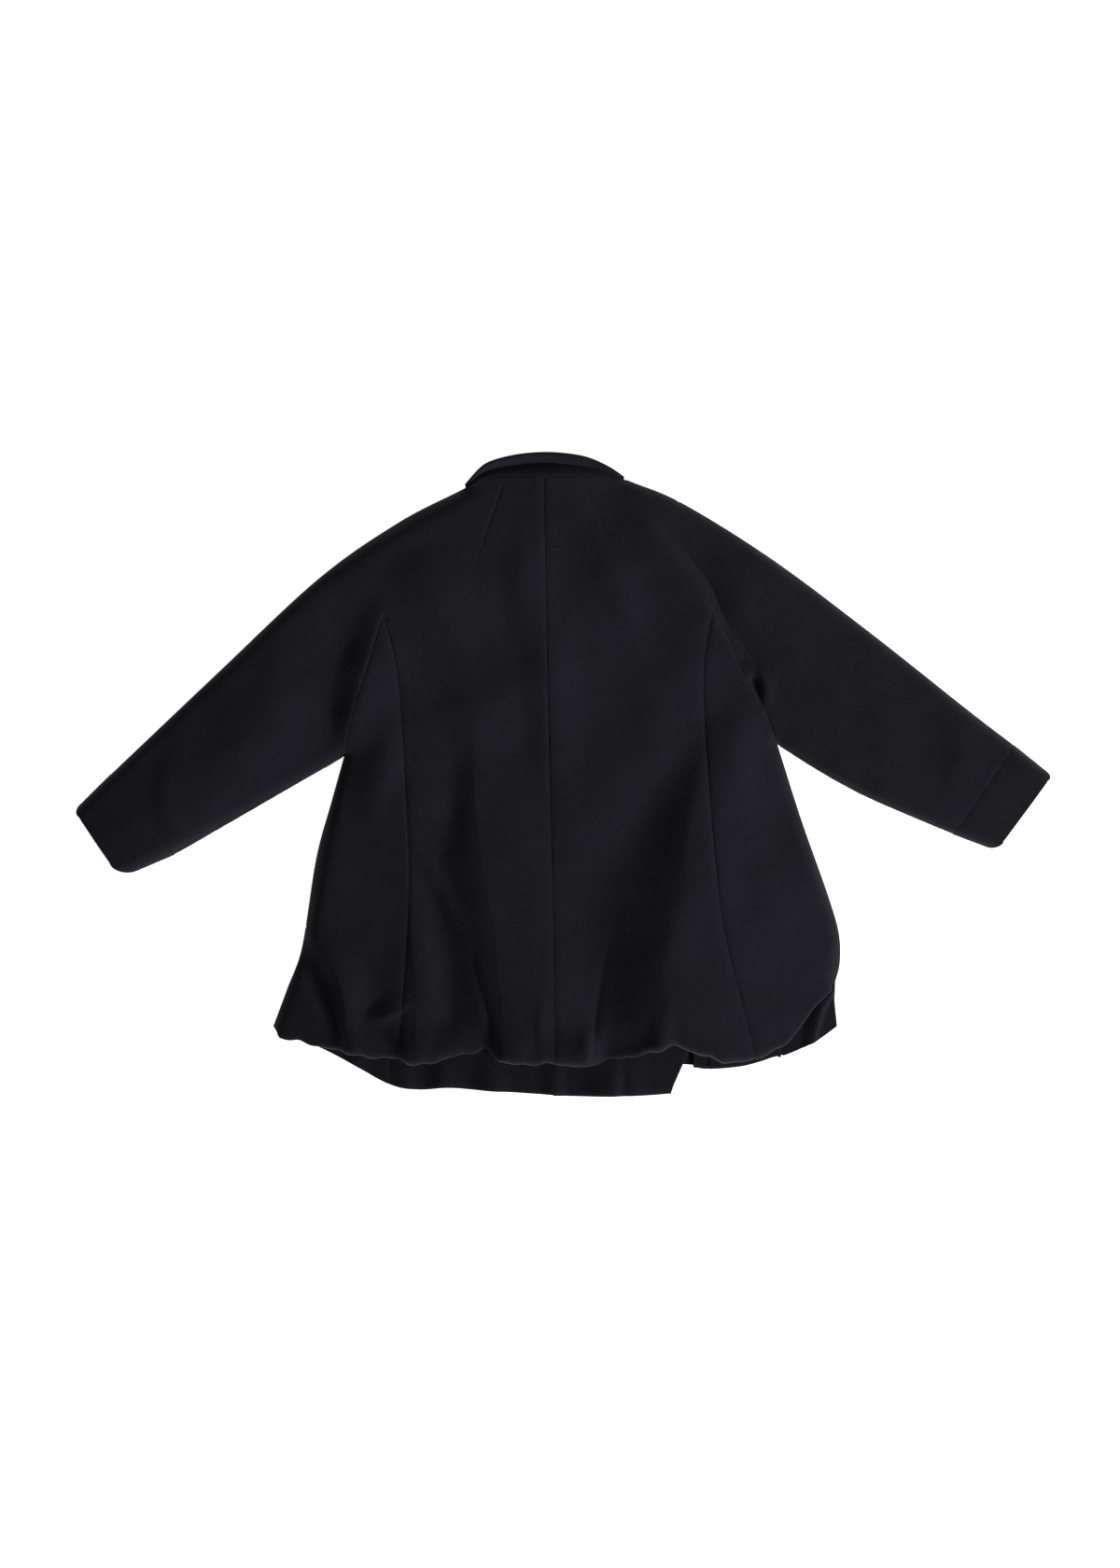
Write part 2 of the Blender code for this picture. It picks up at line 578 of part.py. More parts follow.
def front_collar():
    """Plain bands of the collar along the front neckline, flat on the floor."""
    for side, half, turn, limit in (("left", LEFT, 1, np.minimum), ("right", RIGHT, -1, np.maximum)):
        curve = smooth(half["front neck"])
        run = np.gradient(curve, axis=0)
        run /= np.linalg.norm(run, axis=1)[:, None]
        band = curve + turn * COLLAR_HEIGHT * np.column_stack([-run[:, 1], run[:, 0]])
        band[:, 0] = limit(band[:, 0], half["front neck"][-1][0])
        panel("collar_front_" + side, joined(curve, band[::-1]), drape_floor, FRONT_MESH)


for old in list(bpy.data.objects):
    bpy.data.objects.remove(old)
front_panels()
facing()
back_panels()
cuffs()
back_collar()
front_collar()
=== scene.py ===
import math

import bpy
import numpy as np
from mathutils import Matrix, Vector
from mathutils.geometry import delaunay_2d_cdt
from mathutils.kdtree import KDTree


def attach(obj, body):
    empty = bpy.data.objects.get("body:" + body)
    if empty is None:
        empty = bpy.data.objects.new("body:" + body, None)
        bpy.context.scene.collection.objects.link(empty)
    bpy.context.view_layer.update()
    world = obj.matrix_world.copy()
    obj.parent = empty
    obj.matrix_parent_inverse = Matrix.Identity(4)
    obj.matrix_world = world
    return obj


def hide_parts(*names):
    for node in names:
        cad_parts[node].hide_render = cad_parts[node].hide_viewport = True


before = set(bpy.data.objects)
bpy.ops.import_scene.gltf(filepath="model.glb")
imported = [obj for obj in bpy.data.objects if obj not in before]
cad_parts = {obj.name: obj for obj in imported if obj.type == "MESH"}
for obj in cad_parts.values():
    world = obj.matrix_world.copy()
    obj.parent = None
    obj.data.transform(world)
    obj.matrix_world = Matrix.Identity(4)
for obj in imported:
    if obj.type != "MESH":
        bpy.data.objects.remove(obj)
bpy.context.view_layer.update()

# Back halves
# The coat lies on its front, so its back shows: two panels of felted navy wool, joined by the centre back
# seam. Each is cut in one with the back of its kimono sleeve, has a stitched dart at the neck, and is
# rolled under at the balloon hem. Sizes are in millimetres, as the coat lies, until a mesh is made.
MM = 0.001
WOOL = 2.2             # thickness of the wool
PLY = WOOL / 2
SEAM_PRESS = 0.05      # how far two panels are pressed into each other at a seam
SEAM_DIP = 0.7         # how far a pressed seam sinks
SEAM_WIDTH = 2.1       # and how far to each side
SIDE_SEAM = 1.4        # the side seams sink this many times as far
SOFT_SEAM = {"neck": 0.2, "left": 0.15, "right": 0.5}   # share of it at the neck and at each cuff
LIP_ROWS = (0.3, 0.7, 1.4)     # rows of points inside a panel's edge, where its cloth rounds off
LIP_SHARES = (0.55, 0.83, 0.96, 1.0)  # share of the cloth's thickness at the edge and at those rows
LIP_CLEAR = 0.8        # in a corner, a row keeps this share of its distance from the edge
BACK_MESH = 3.3        # between two points of the cloth
HEM_MESH = 1.8         # between two points round the hem's roll
HEM_PLACE = 2.3        # and between two rows of them along the hem
HEM_LAST = 0.5         # from the last of those points to the end of the cloth, at least
LINE_STEP = 3.2        # between two points of a seam or of the outline
FOLD_STEP = 6.0        # between two points of a fold
CREASE_STEP = 2.6      # between two points of the mesh along a crease
CREASE_OFFSETS = (-2.0, -1.0, 0.0, 1.0, 2.0)   # rows of such points, across the crease
ROW_CLEAR = 0.9        # they stay this far from the edge's rows
GRID_CLEAR = 0.55      # the even grid stays this share of its mesh from all rows
GRID_ROW = 0.87        # from row to row of that grid, for a mesh of 1
SAME_POINT = 0.05      # points of an outline that are closer than this are one
MITRE = 0.3            # a sharp corner moves in at most 1 / this as far as its sides
SEAM_CLEAR = 2.0       # the points of a seam stop this far above the hem
SLOPE_REACH = 0.5      # a slope is measured this far to each side

# Seam lines and edges of each half, as points x, y
BACK = {
    "left": {
        "neck": ((-17, 272), (-50, 272), (-73, 270), (-93, 261)),
        "overarm": ((-93, 261), (-151, 231), (-225, 179), (-317, 93), (-417, -2), (-452, -36)),
        "underarm": ((-201, 16), (-256, -16), (-320, -53), (-359, -75), (-406, -97)),
        "cuff seam": ((-417, -2), (-359, -75)),
        "armhole": ((-165, 145), (-178, 102), (-190, 65), (-201, 16)),
        "side seam": ((-165, 145), (-157, 116), (-150, 73), (-143, -45), (-142, -135), (-153, -290)),
        "side edge": ((-201, 16), (-213, -27), (-227, -79), (-240, -160), (-254, -200), (-267, -235)),
    },
    "right": {
        "neck": ((-17, 272), (20, 272), (43, 272), (60, 270)),
        "overarm": ((60, 270), (112, 248), (195, 196), (287, 127), (374, 58), (417, 25), (453, -3)),
        "underarm": ((198, 27), (229, 7), (258, -10), (292, -27), (361, -56), (400, -71)),
        "cuff seam": ((417, 25), (361, -56)),
        "armhole": ((138, 150), (155, 118), (171, 83), (184, 64), (198, 27)),
        "side seam": ((138, 150), (130, 93), (134, 0), (145, -126), (169, -229), (186, -290)),
        "side edge": ((198, 27), (221, -45), (245, -113), (255, -148), (256, -175), (252, -193)),
    },
}
CENTRE_BACK = ((-17, 272), (-15, 145), (-12, 10), (-9, -120), (-6, -290))

# How the back lies over the front
EDGE_HEIGHT = WOOL + 0.1        # where the back meets the front along the outline
EDGE_ROUND = 12.0      # radius of the soft edge along the outline
EDGE_RISE = 11.5       # height gained at that soft edge
DOME_RISE = 7.5        # further height gained in the middle of the body
DOME_REACH = 60.0      # distance over which the middle rises
DOME_SOFT = 7.0        # how softly two rising sides meet
ARMPIT_CLEAR = 3.0     # the panels stop this short of the armpit's point

# The balloon hem, with the columns x, y, radius of the roll, and degrees that it turns aside
BUBBLE_REACH = 32.0    # how far up the balloon hem shapes the back
HEM_FLOOR = 5.6        # height of a turned-under hem with no roll
HEM_LIFT = 1.15        # more height for each millimetre of roll, besides the roll itself
HEM_SHARE = 0.45       # share of a raised fold that runs on round the hem
HEM_TURN = 22.0        # cloth turned under past the roll
HEM_TURN_POINTS = 7    # points of a seam across it
HEM_END = 3.0          # the turned-under cloth ends this far from the side edges
HEM_TAPER = 16.0       # and narrows over this distance
BACK_HEM = (
    (-267, -235, 1.0, -30),
    (-262, -242, 2.4, -24),
    (-256, -245, 3.0, -18),
    (-228, -250, 3.2, -8),
    (-208, -255, 3.8, 0),
    (-194, -259, 6.4, 0),
    (-186, -260, 6.4, 0),
    (-170, -261, 5.2, 0),
    (-155, -263, 5.0, 0),
    (-140, -267, 7.2, 0),
    (-120, -266, 7.4, 0),
    (-100, -261, 6.4, 0),
    (-83, -256, 5.2, 0),
    (-70, -254, 4.6, 0),
    (-64, -259, 5.6, 0),
    (-58, -265, 6.8, 0),
    (-42, -267, 7.8, 0),
    (-22, -267, 6.6, 0),
    (-5, -268, 7.8, 0),
    (11, -268, 8.2, 0),
    (24, -270, 8.0, 0),
    (36, -266, 2.8, 0),
    (56, -261, 3.6, 0),
    (74, -259, 5.6, 0),
    (89, -255, 8.0, 0),
    (104, -249, 7.0, 0),
    (118, -255, 7.2, 0),
    (134, -261, 7.4, 0),
    (148, -264, 7.4, 0),
    (164, -265, 6.8, 0),
    (180, -262, 5.8, 8),
    (197, -253, 4.6, 20),
    (214, -239, 3.6, 40),
    (230, -217, 3.0, 52),
    (246, -201, 2.2, 52),
    (252, -193, 1.4, 50),
)
HEM_WAVES = ((0.6, 19.0), (0.7, 29.0), (0.8, 47.0))   # height and length of the hem's small waves
WAVE_FADE = (30.0, 60.0)       # how far from the hem's left and right end they fade

# Folds of the back, each drawn from its top down with the columns x, y, height, and how far it reaches
# to the left and to the right. A negative height is a valley.
FOLDS = {
    "left underarm": ((-182, 172, -0.3, 40, 16), (-203, 124, -4, 50, 26), (-218, 88, -5.5, 56, 34),
                      (-224, 56, -5.5, 50, 34), (-219, 32, -2.5, 30, 20)),
    "left armhole": ((-158, 178, 0.3, 12, 24), (-174, 124, 3.5, 18, 40), (-185, 87, 6, 24, 46),
                     (-194, 50, 7, 20, 40), (-200, 22, 2, 10, 20)),
    "left shoulder edge": ((-62, 260, 0.3, 10, 50), (-88, 247, 3, 14, 100), (-112, 234, 3.5, 14, 110),
                           (-142, 218, 3.5, 14, 110), (-181, 192, 2.5, 14, 90), (-212, 168, 0.3, 10, 50)),
    "left shoulder": ((-122, 210, 0.3, 40, 60), (-119, 180, 6, 52, 84), (-115, 150, 6, 52, 84),
                      (-108, 108, 0.3, 34, 60)),
    "left sleeve": ((-196, 122, 0.5, 34, 26), (-236, 64, 3, 56, 38), (-296, 8, 3.6, 60, 38),
                    (-348, -38, 3.6, 60, 36), (-386, -74, 3, 58, 28), (-412, -102, 3, 54, 26)),
    "right arm ridge": ((70, 238, 0.3, 26, 12), (92, 212, 3, 40, 14), (110, 190, 4, 44, 14),
                        (126, 166, 4, 40, 14), (136, 146, 3, 30, 12), (146, 124, 1.5, 16, 10),
                        (154, 108, 0.3, 10, 8)),
    "right arm crease": ((84, 232, -0.3, 14, 14), (100, 215, -2, 14, 20), (118, 196, -3.5, 13, 24),
                         (136, 173, -4, 12, 24), (145, 152, -4, 11, 22), (155, 131, -4, 10, 20),
                         (168, 115, -4, 9, 18), (178, 101, -2, 7, 14), (184, 90, -0.3, 5, 10)),
    "right arm edge": ((178, 100, 0.3, 4, 8), (185.5, 86, 2.5, 4, 12), (187.5, 75, 2.5, 4, 12),
                       (185, 60, 0.3, 3, 8)),
    "right chest": ((36, 210, 0.3, 20, 24), (51, 168, 3, 24, 30), (68, 122, 0.3, 18, 24)),
    "right pleat": ((134, 34, 0.3, 20, 30), (125, -10, 8, 36, 70), (118, -45, 13, 50, 120),
                    (114, -79, 17, 66, 150), (112, -113, 20, 82, 160), (103, -148, 21.5, 82, 160),
                    (94, -182, 21.5, 75, 160), (97, -210, 21.5, 76, 150), (100, -255, 19, 72, 130)),
    "right pleat foot": ((60, -100, -0.3, 50, 30), (42, -148, -2, 60, 46), (34, -190, -2.5, 60, 50),
                         (28, -225, -2.5, 50, 50), (26, -262, -2, 40, 46)),
    "left pleat": ((-100, 20, -0.3, 36, 18), (-104, -36, -5, 40, 24), (-120, -79, -5.5, 60, 44),
                   (-118, -113, -6.5, 64, 46), (-115, -148, -6.5, 64, 46), (-113, -182, -6.5, 60, 46),
                   (-116, -210, -6, 54, 46), (-112, -250, -4.5, 44, 40)),
    "left pleat crest": ((-83, 56, 0.3, 16, 24), (-81, 0, 4.5, 24, 60), (-79, -45, 5, 26, 80),
                         (-74, -79, 6, 42, 90), (-69, -113, 7, 44, 90), (-62, -148, 8, 44, 90),
                         (-59, -184, 9, 44, 90), (-55, -215, 8.5, 46, 90), (-54, -250, 7, 44, 80)),
    "left slant": ((-136, -56, 0.3, 10, 10), (-122, -88, 3, 13, 14), (-108, -116, 3.5, 14, 14),
                   (-86, -156, 0.5, 12, 10)),
    "left ridge": ((-132, -105, 0.3, 14, 14), (-127, -171, 2, 15, 16), (-114, -240, 2, 16, 18)),
    "left side pleat": ((-146, -40, 0.3, 12, 20), (-142, -100, 3.5, 22, 28), (-138, -160, 7, 29, 34),
                        (-134, -205, 9, 32, 34), (-135, -250, 8, 28, 30)),
    "left side tuck": ((-151, -219, 3.5, 24, 6), (-159, -222, 5.5, 22, 10), (-168, -223.5, 4.5, 15, 12),
                       (-182, -223, 0.4, 7, 10)),
    "left hem lump": ((-172, -238, 0.3, 8, 8), (-168, -246, -2, 9, 7), (-158, -248, -0.3, 7, 7)),
    "left tip": ((-236, -143, 0.4, 6, 12), (-231, -150, 3.5, 9, 20), (-220, -164, 7, 13, 30),
                 (-210, -181, 9, 14, 34), (-203, -197, 9, 14, 30), (-200, -218, 8, 12, 24),
                 (-199, -233, 6, 9, 18), (-199, -252, 4, 7, 14)),
    "left tip hollow": ((-246, -152, -0.4, 8, 12), (-240, -170, -4, 12, 18), (-230, -188, -5, 14, 18),
                        (-221, -208, -4.5, 16, 16), (-213, -226, -3, 16, 12), (-207, -241, -2, 14, 8)),
    "neck fold": ((-41, 218, 0.3, 20, 24), (-37, 178, 5, 24, 34), (-34, 150, 5, 24, 34),
                  (-31, 110, 0.3, 20, 24)),
    "centre fold": ((-16, 166, 0.3, 20, 30), (-14, 112, 4.5, 30, 40), (-13, 50, 4, 28, 40),
                    (-12, -16, 0.3, 18, 30)),
    "left waist": ((-26, 92, 0.3, 30, 34), (-76, 58, 5, 44, 50), (-128, 28, 0.3, 30, 34)),
    "centre hem fold": ((-21, -206, 0.3, 7, 10), (-20, -236, 3, 7, 10), (-19, -268, 4, 7, 10)),
    "right side": ((160, 70, 0.3, 24, 26), (160, 28, 5.5, 34, 34), (155, -40, 0.3, 22, 26)),
    "left side": ((-160, 62, 0.3, 24, 20), (-164, 12, 6.5, 36, 26), (-180, -46, 0.3, 24, 20)),
    "left hip": ((-204, -40, 0.3, 14, 24), (-211, -80, 3.5, 15, 42), (-219, -124, 3.5, 14, 44),
                 (-226, -150, 0.3, 10, 24)),
    "left wrist": ((-355, 32, 0.3, 12, 20), (-366, -16, 3, 16, 26), (-356, -60, 2, 14, 20)),
    "right wrist": ((358, 48, 0.3, 18, 24), (366, 10, 2.5, 20, 30), (358, -26, 0.3, 16, 24)),
    "right elbow": ((262, 8, -0.3, 9, 10), (275, 0, -2, 10, 9), (288, -14, -1, 9, 8)),
}

# Most folds are soft on both sides. These are crisp on the left, crisp on both sides, and steepest near the
# crest on the left.
CRISP = ("left armhole", "left pleat crest", "left tip", "left side pleat", "left side tuck")
SHARP = ("right arm crease",)
LEANING = ("right pleat",)
CRISP_POWER = 1.3
LEANING_POWER = 0.72

# Narrow grooves, with the columns x, y, depth and half width: stitched neck darts, the underarm seams
# that are rolled a little to the back, sharp creases where pleats meet the hem, and a pocket in the cloth
# where the right arm folds
GROOVES = {
    "left neck dart": ((-54, 267, 0.3, 1.0), (-59, 253, 0.7, 1.0), (-68, 228, 0.7, 1.0),
                       (-82, 186, 0.1, 1.0)),
    "right neck dart": ((18, 267, 0.2, 1.4), (24, 255, 0.5, 1.4), (34, 235, 0.5, 1.4),
                        (51, 196, 0.1, 1.4)),
    "left underarm seam": ((-206, 14, 0.6, 1.1), (-222, 4, 0.9, 1.1), (-257, -13, 1.0, 1.1),
                           (-321, -50, 1.0, 1.1), (-357, -70, 0.8, 1.1)),
    "right underarm seam": ((203, 27, 0.6, 1.2), (216, 19, 1.0, 1.2), (231, 10, 1.0, 1.2),
                            (259, -7, 0.9, 1.2), (293, -24, 0.8, 1.2), (359, -53, 0.4, 1.0)),
    "left pleat crease": ((-84, -150, 0.1, 3.2), (-80, -182, 1.1, 3.4), (-72, -210, 1.8, 3.4),
                          (-64, -240, 2.4, 3.2), (-60, -262, 2.4, 3.2)),
    "right pleat crease": ((50, -131, 0.1, 4.0), (40, -171, 0.6, 4.0), (32, -215, 1.4, 3.6),
                           (27, -262, 2.4, 3.0)),
    "right arm hollow": ((161, 113, 0.2, 3.0), (166, 104, 2.2, 3.6), (170, 96, 0.3, 3.0)),
    "right arm pocket": ((172, 92, 0.4, 3.0), (176.5, 84, 6.0, 4.4), (180, 76, 5.0, 3.8),
                         (183.5, 68, 1.0, 2.4)),
}

# Slight waves that stay in cloth smoothed out by hand
RIPPLES = (34.0, 150.0, 14)    # the shortest, the longest and how many
RIPPLE_RISE = 0.003    # their height for each millimetre of length


def smooth(points, step=LINE_STEP):
    """A smooth curve through the points, with a point about every step."""
    points = np.array(points, float)
    ahead = np.vstack([2 * points[0] - points[1], points, 2 * points[-1] - points[-2]])
    curve = []
    for p0, p1, p2, p3 in zip(ahead, ahead[1:], ahead[2:], ahead[3:]):
        count = max(1, round(np.linalg.norm((p2 - p1)[:2]) / step))
        for t in np.arange(count) / count:
            curve.append(0.5 * (2 * p1 + (p2 - p0) * t + (2 * p0 - 5 * p1 + 4 * p2 - p3) * t ** 2
                                + (3 * p1 - p0 - 3 * p2 + p3) * t ** 3))
    return np.array(curve + [points[-1]])


def beside(points, line):
    """How far each point is to the right of a line that is drawn downwards, and the line's values there.

    The distance is negative to the left. The values are the line's columns after x and y.
    """
    start, run = line[:-1, :2], np.diff(line[:, :2], axis=0)
    along = (((points[:, None] - start) * run).sum(2) / (run ** 2).sum(1)).clip(0.0, 1.0)
    offset = points[:, None] - start - along[:, :, None] * run
    away = np.hypot(offset[..., 0], offset[..., 1])
    rows, pick = np.arange(len(points)), away.argmin(axis=1)
    share = along[rows, pick][:, None]
    values = line[pick, 2:] * (1.0 - share) + line[pick + 1, 2:] * share
    turn = run[pick, 0] * offset[rows, pick, 1] - run[pick, 1] * offset[rows, pick, 0]
    return np.where(turn < 0, -1.0, 1.0) * away[rows, pick], values


def distance(points, line):
    """Distance of each point to a line."""
    return np.abs(beside(points, line)[0])


def ease(t):
    """0 below 0, 1 above 1, and a soft step between."""
    t = np.clip(t, 0.0, 1.0)
    return t * t * (3.0 - 2.0 * t)


def folded(points, folds):
    """Height that the folds add at each point."""
    total = np.zeros(len(points))
    for name, path in folds.items():
        line = smooth(path, FOLD_STEP)
        reach = line[:, 3:].max()
        low, high = line[:, :2].min(axis=0) - reach, line[:, :2].max(axis=0) + reach
        near = ((points > low) & (points < high)).all(axis=1)
        side, values = beside(points[near], line)
        height, left, right = values.T
        across = np.clip(np.abs(side) / np.where(side > 0, right, left), 0.0, 1.0)
        if name in LEANING:
            across = np.where(side < 0, across ** LEANING_POWER, across)
        crisp = (1.0 - across) ** CRISP_POWER
        soft = (1.0 - across) ** 2 * (1.0 + 2.0 * across)
        sharp = (name in SHARP) | ((side < 0) & (name in CRISP))
        total[near] += height * np.where(sharp, crisp, soft)
    return total


def ripple(points):
    """Height that the slight waves add at each point."""
    waves = np.random.default_rng(5)
    total = np.zeros(len(points))
    for length in np.linspace(*RIPPLES):
        angle, phase = waves.uniform(0.0, 2.0 * math.pi, 2)
        place = points @ (math.cos(angle), math.sin(angle))
        total += RIPPLE_RISE * length * np.sin(2.0 * math.pi * place / length + phase)
    return total


OUTLINE = [smooth(half[line]) for half in BACK.values()
           for line in ("overarm", "underarm", "side edge")]
SEAMS = [(smooth(half["side seam"]), SIDE_SEAM * SEAM_DIP) for half in BACK.values()]
SEAMS += [(smooth(half["armhole"]), SEAM_DIP) for half in BACK.values()]
SEAMS += [(smooth(half["cuff seam"]), SEAM_DIP * SOFT_SEAM[side]) for side, half in BACK.items()]
SEAMS.append((smooth(CENTRE_BACK), SEAM_DIP))
HEM_CURVE = smooth(BACK_HEM, FOLD_STEP / 2)


def hem_at(x):
    """The balloon hem at x: the radius of its roll, the y where it begins, and how far it turns aside."""
    edge, roll, aside = (np.interp(x, HEM_CURVE[:, 0], HEM_CURVE[:, k]) for k in (1, 2, 3))
    wave = sum(tall * np.sin(2.0 * math.pi * x / long + long) for tall, long in HEM_WAVES)
    first, last = BACK_HEM[0][0], BACK_HEM[-1][0]
    wave = wave * ease((x - first) / WAVE_FADE[0]) * ease((last - x) / WAVE_FADE[1])
    return roll, edge + roll + wave, np.radians(aside)


def back_height(points):
    """Height of the middle of the upper ply over each point, seen from above."""
    x, y = points.T
    away = np.array([distance(points, line) for line in OUTLINE])
    edge = away.min(axis=0)
    from_sides = np.maximum(-DOME_SOFT * np.log(np.exp(-away / DOME_SOFT).sum(axis=0)), 0.0)
    roll, start, _ = hem_at(x)
    at_hem = ease(1.0 - (y - start) / BUBBLE_REACH)
    folds = folded(points, FOLDS)
    body = EDGE_HEIGHT + EDGE_RISE + DOME_RISE * (1.0 - np.exp(-from_sides / DOME_REACH))
    body = body + folds + ripple(points)
    hem = HEM_FLOOR + (HEM_LIFT + 2.0) * roll + HEM_SHARE * np.maximum(folds, 0.0)
    height = body * (1.0 - at_hem) + hem * at_hem
    from_seam = np.clip(edge / EDGE_ROUND, 0.0, 1.0)
    height = EDGE_HEIGHT + (height - EDGE_HEIGHT) * np.sqrt(1.0 - (1.0 - from_seam) ** 2)
    dips = [depth * np.exp(-(distance(points, line) / SEAM_WIDTH) ** 2) for line, depth in SEAMS]
    height -= np.max(dips, axis=0) * ease(edge / EDGE_ROUND)
    for path in GROOVES.values():
        side, values = beside(points, smooth(path, FOLD_STEP))
        depth, width = values.T
        height -= depth * np.exp(-(side / width) ** 2)
    return height


def drape_back(pattern):
    """Places pattern points of the upper ply, rolling the hem under."""
    x, y = pattern.T
    roll, start, aside = hem_at(x)
    past = np.maximum(start - y, 0.0)
    angle = np.clip(past / roll, 0.0, math.pi)
    out = roll * np.sin(angle) - np.maximum(past - math.pi * roll, 0.0)
    level = np.maximum(y, start)
    height = back_height(np.column_stack([x, level])) - roll * (1.0 - np.cos(angle))
    return np.column_stack([x + out * np.sin(aside), level - out * np.cos(aside), height])


def slopes(pattern):
    """The direction out of the upper ply at each pattern point."""
    across, along = (drape_back(pattern + step) - drape_back(pattern - step)
                     for step in ((SLOPE_REACH, 0.0), (0.0, SLOPE_REACH)))
    return np.cross(across, along)


def short_of_end(line, gap):
    """A line that stops a gap short of its last point."""
    away = np.linalg.norm(line - line[-1], axis=1)
    end = line[-1] + (line[-2] - line[-1]) * gap / away[-2]
    return np.vstack([line[away > gap * 1.5], end])


def drawn_in(ring, gap):
    """An anticlockwise outline moved inwards."""
    ahead = np.roll(ring, -1, axis=0) - ring
    ahead /= np.linalg.norm(ahead, axis=1)[:, None]
    inward = np.column_stack([-ahead[:, 1], ahead[:, 0]])
    mean = inward + np.roll(inward, 1, axis=0)
    mean /= np.maximum((mean * inward).sum(axis=1), MITRE)[:, None]
    return ring + mean * gap


def joined(*lines):
    """One closed outline, anticlockwise, a touch larger than its lines so that seams close."""
    points = np.vstack(lines)
    ring = points[np.linalg.norm(points - np.roll(points, 1, axis=0), axis=1) > SAME_POINT]
    x, y = ring.T
    if (x * np.roll(y, -1) - y * np.roll(x, -1)).sum() < 0:
        ring = ring[::-1]
    return drawn_in(ring, -SEAM_PRESS)


def tree_of(points):
    """A search tree over flat points."""
    tree = KDTree(len(points))
    for i, (x, y) in enumerate(points):
        tree.insert((x, y, 0.0), i)
    tree.balance()
    return tree


def clear_of(points, others, gap):
    """The points that are further than a gap from all the others."""
    tree = tree_of(others)
    return points[[tree.find((x, y, 0.0))[2] > gap for x, y in points]]


def grid_in(ring, mesh):
    """An even grid of points inside an outline."""
    begin, end = ring, np.roll(ring, -1, axis=0)
    points = []
    for j, y in enumerate(np.arange(ring[:, 1].min() + mesh / 2, ring[:, 1].max(), mesh * GRID_ROW)):
        cut = (begin[:, 1] > y) != (end[:, 1] > y)
        b, e = begin[cut], end[cut]
        crossing = np.sort(b[:, 0] + (e[:, 0] - b[:, 0]) * (y - b[:, 1]) / (e[:, 1] - b[:, 1]))
        for first, last in zip(crossing[::2], crossing[1::2]):
            left = math.ceil(first / mesh) * mesh + mesh / 2 * (j % 2)
            points += [(x, y) for x in np.arange(left, last, mesh)]
    return np.array(points)


def cut_cloth(ring, mesh, rows):
    """Fills an outline with triangles: its points, their triangles and the cloth's thickness at each."""
    lips = [clear_of(drawn_in(ring, gap), ring, gap * LIP_CLEAR) for gap in LIP_ROWS]
    edge = np.vstack([ring, *lips])
    share = np.repeat(LIP_SHARES, [len(ring), *(len(lip) for lip in lips)])
    rows = clear_of(rows, edge, ROW_CLEAR)
    inner = clear_of(grid_in(ring, mesh), np.vstack([edge, rows]), mesh * GRID_CLEAR)
    points = np.vstack([edge, rows, inner])
    share = np.append(share, np.ones(len(points) - len(share)))
    sides = [(i, (i + 1) % len(ring)) for i in range(len(ring))]
    flat, _, triangles, origin, *_ = delaunay_2d_cdt(points.tolist(), sides, [], 1, 1e-4)
    return (np.array([tuple(p) for p in flat]), np.array(triangles),
            share[[ids[0] for ids in origin]])


def wool_shell(name, middle, triangles, share, material, rests=0.0, edge=None):
    """A closed wall of wool round its middle surface, no lower than what it rests on.

    The directions out of its thinner edge can be given, so that two pieces agree at a seam. Returns the
    piece and the area of its cloth in square metres.
    """
    a, b, c = (middle[triangles[:, k]] for k in range(3))
    face = np.cross(b - a, c - a)
    normals = np.zeros_like(middle)
    for k in range(3):
        np.add.at(normals, triangles[:, k], face)
    if edge is not None:
        normals[share < 1.0] = edge
    normals *= (share * PLY / np.linalg.norm(normals, axis=1))[:, None]
    walls = np.vstack([middle + normals, middle - normals])
    walls[:, 2] = np.maximum(walls[:, 2], rests)
    count = len(middle)
    faces = triangles.tolist()
    sides = {(p, q) for tri in faces for p, q in zip(tri, tri[1:] + tri[:1])}
    faces += (triangles[:, ::-1] + count).tolist()
    faces += [(q, p, p + count, q + count) for p, q in sorted(sides) if (q, p) not in sides]
    mesh = bpy.data.meshes.new(name)
    mesh.from_pydata((walls * MM).tolist(), [], faces)
    mesh.shade_smooth()
    mesh.materials.append(material)
    piece = bpy.data.objects.new(name, mesh)
    bpy.context.scene.collection.objects.link(piece)
    return piece, np.linalg.norm(face, axis=1).sum() / 2 * MM ** 2


# The wool's nap
TONES_PER_METRE = 9.0          # scale of the slow changes of tone
FLOCKS_PER_METRE = 230.0       # scale of the small flocks of fibre
NAP_SHADE = 0.34       # how much the nap lightens and darkens the cloth
FLOCK_SHADE = 0.13     # and how much the flocks do
STRAND_RELIEF = 0.7    # height of the strands, for a nap of 1


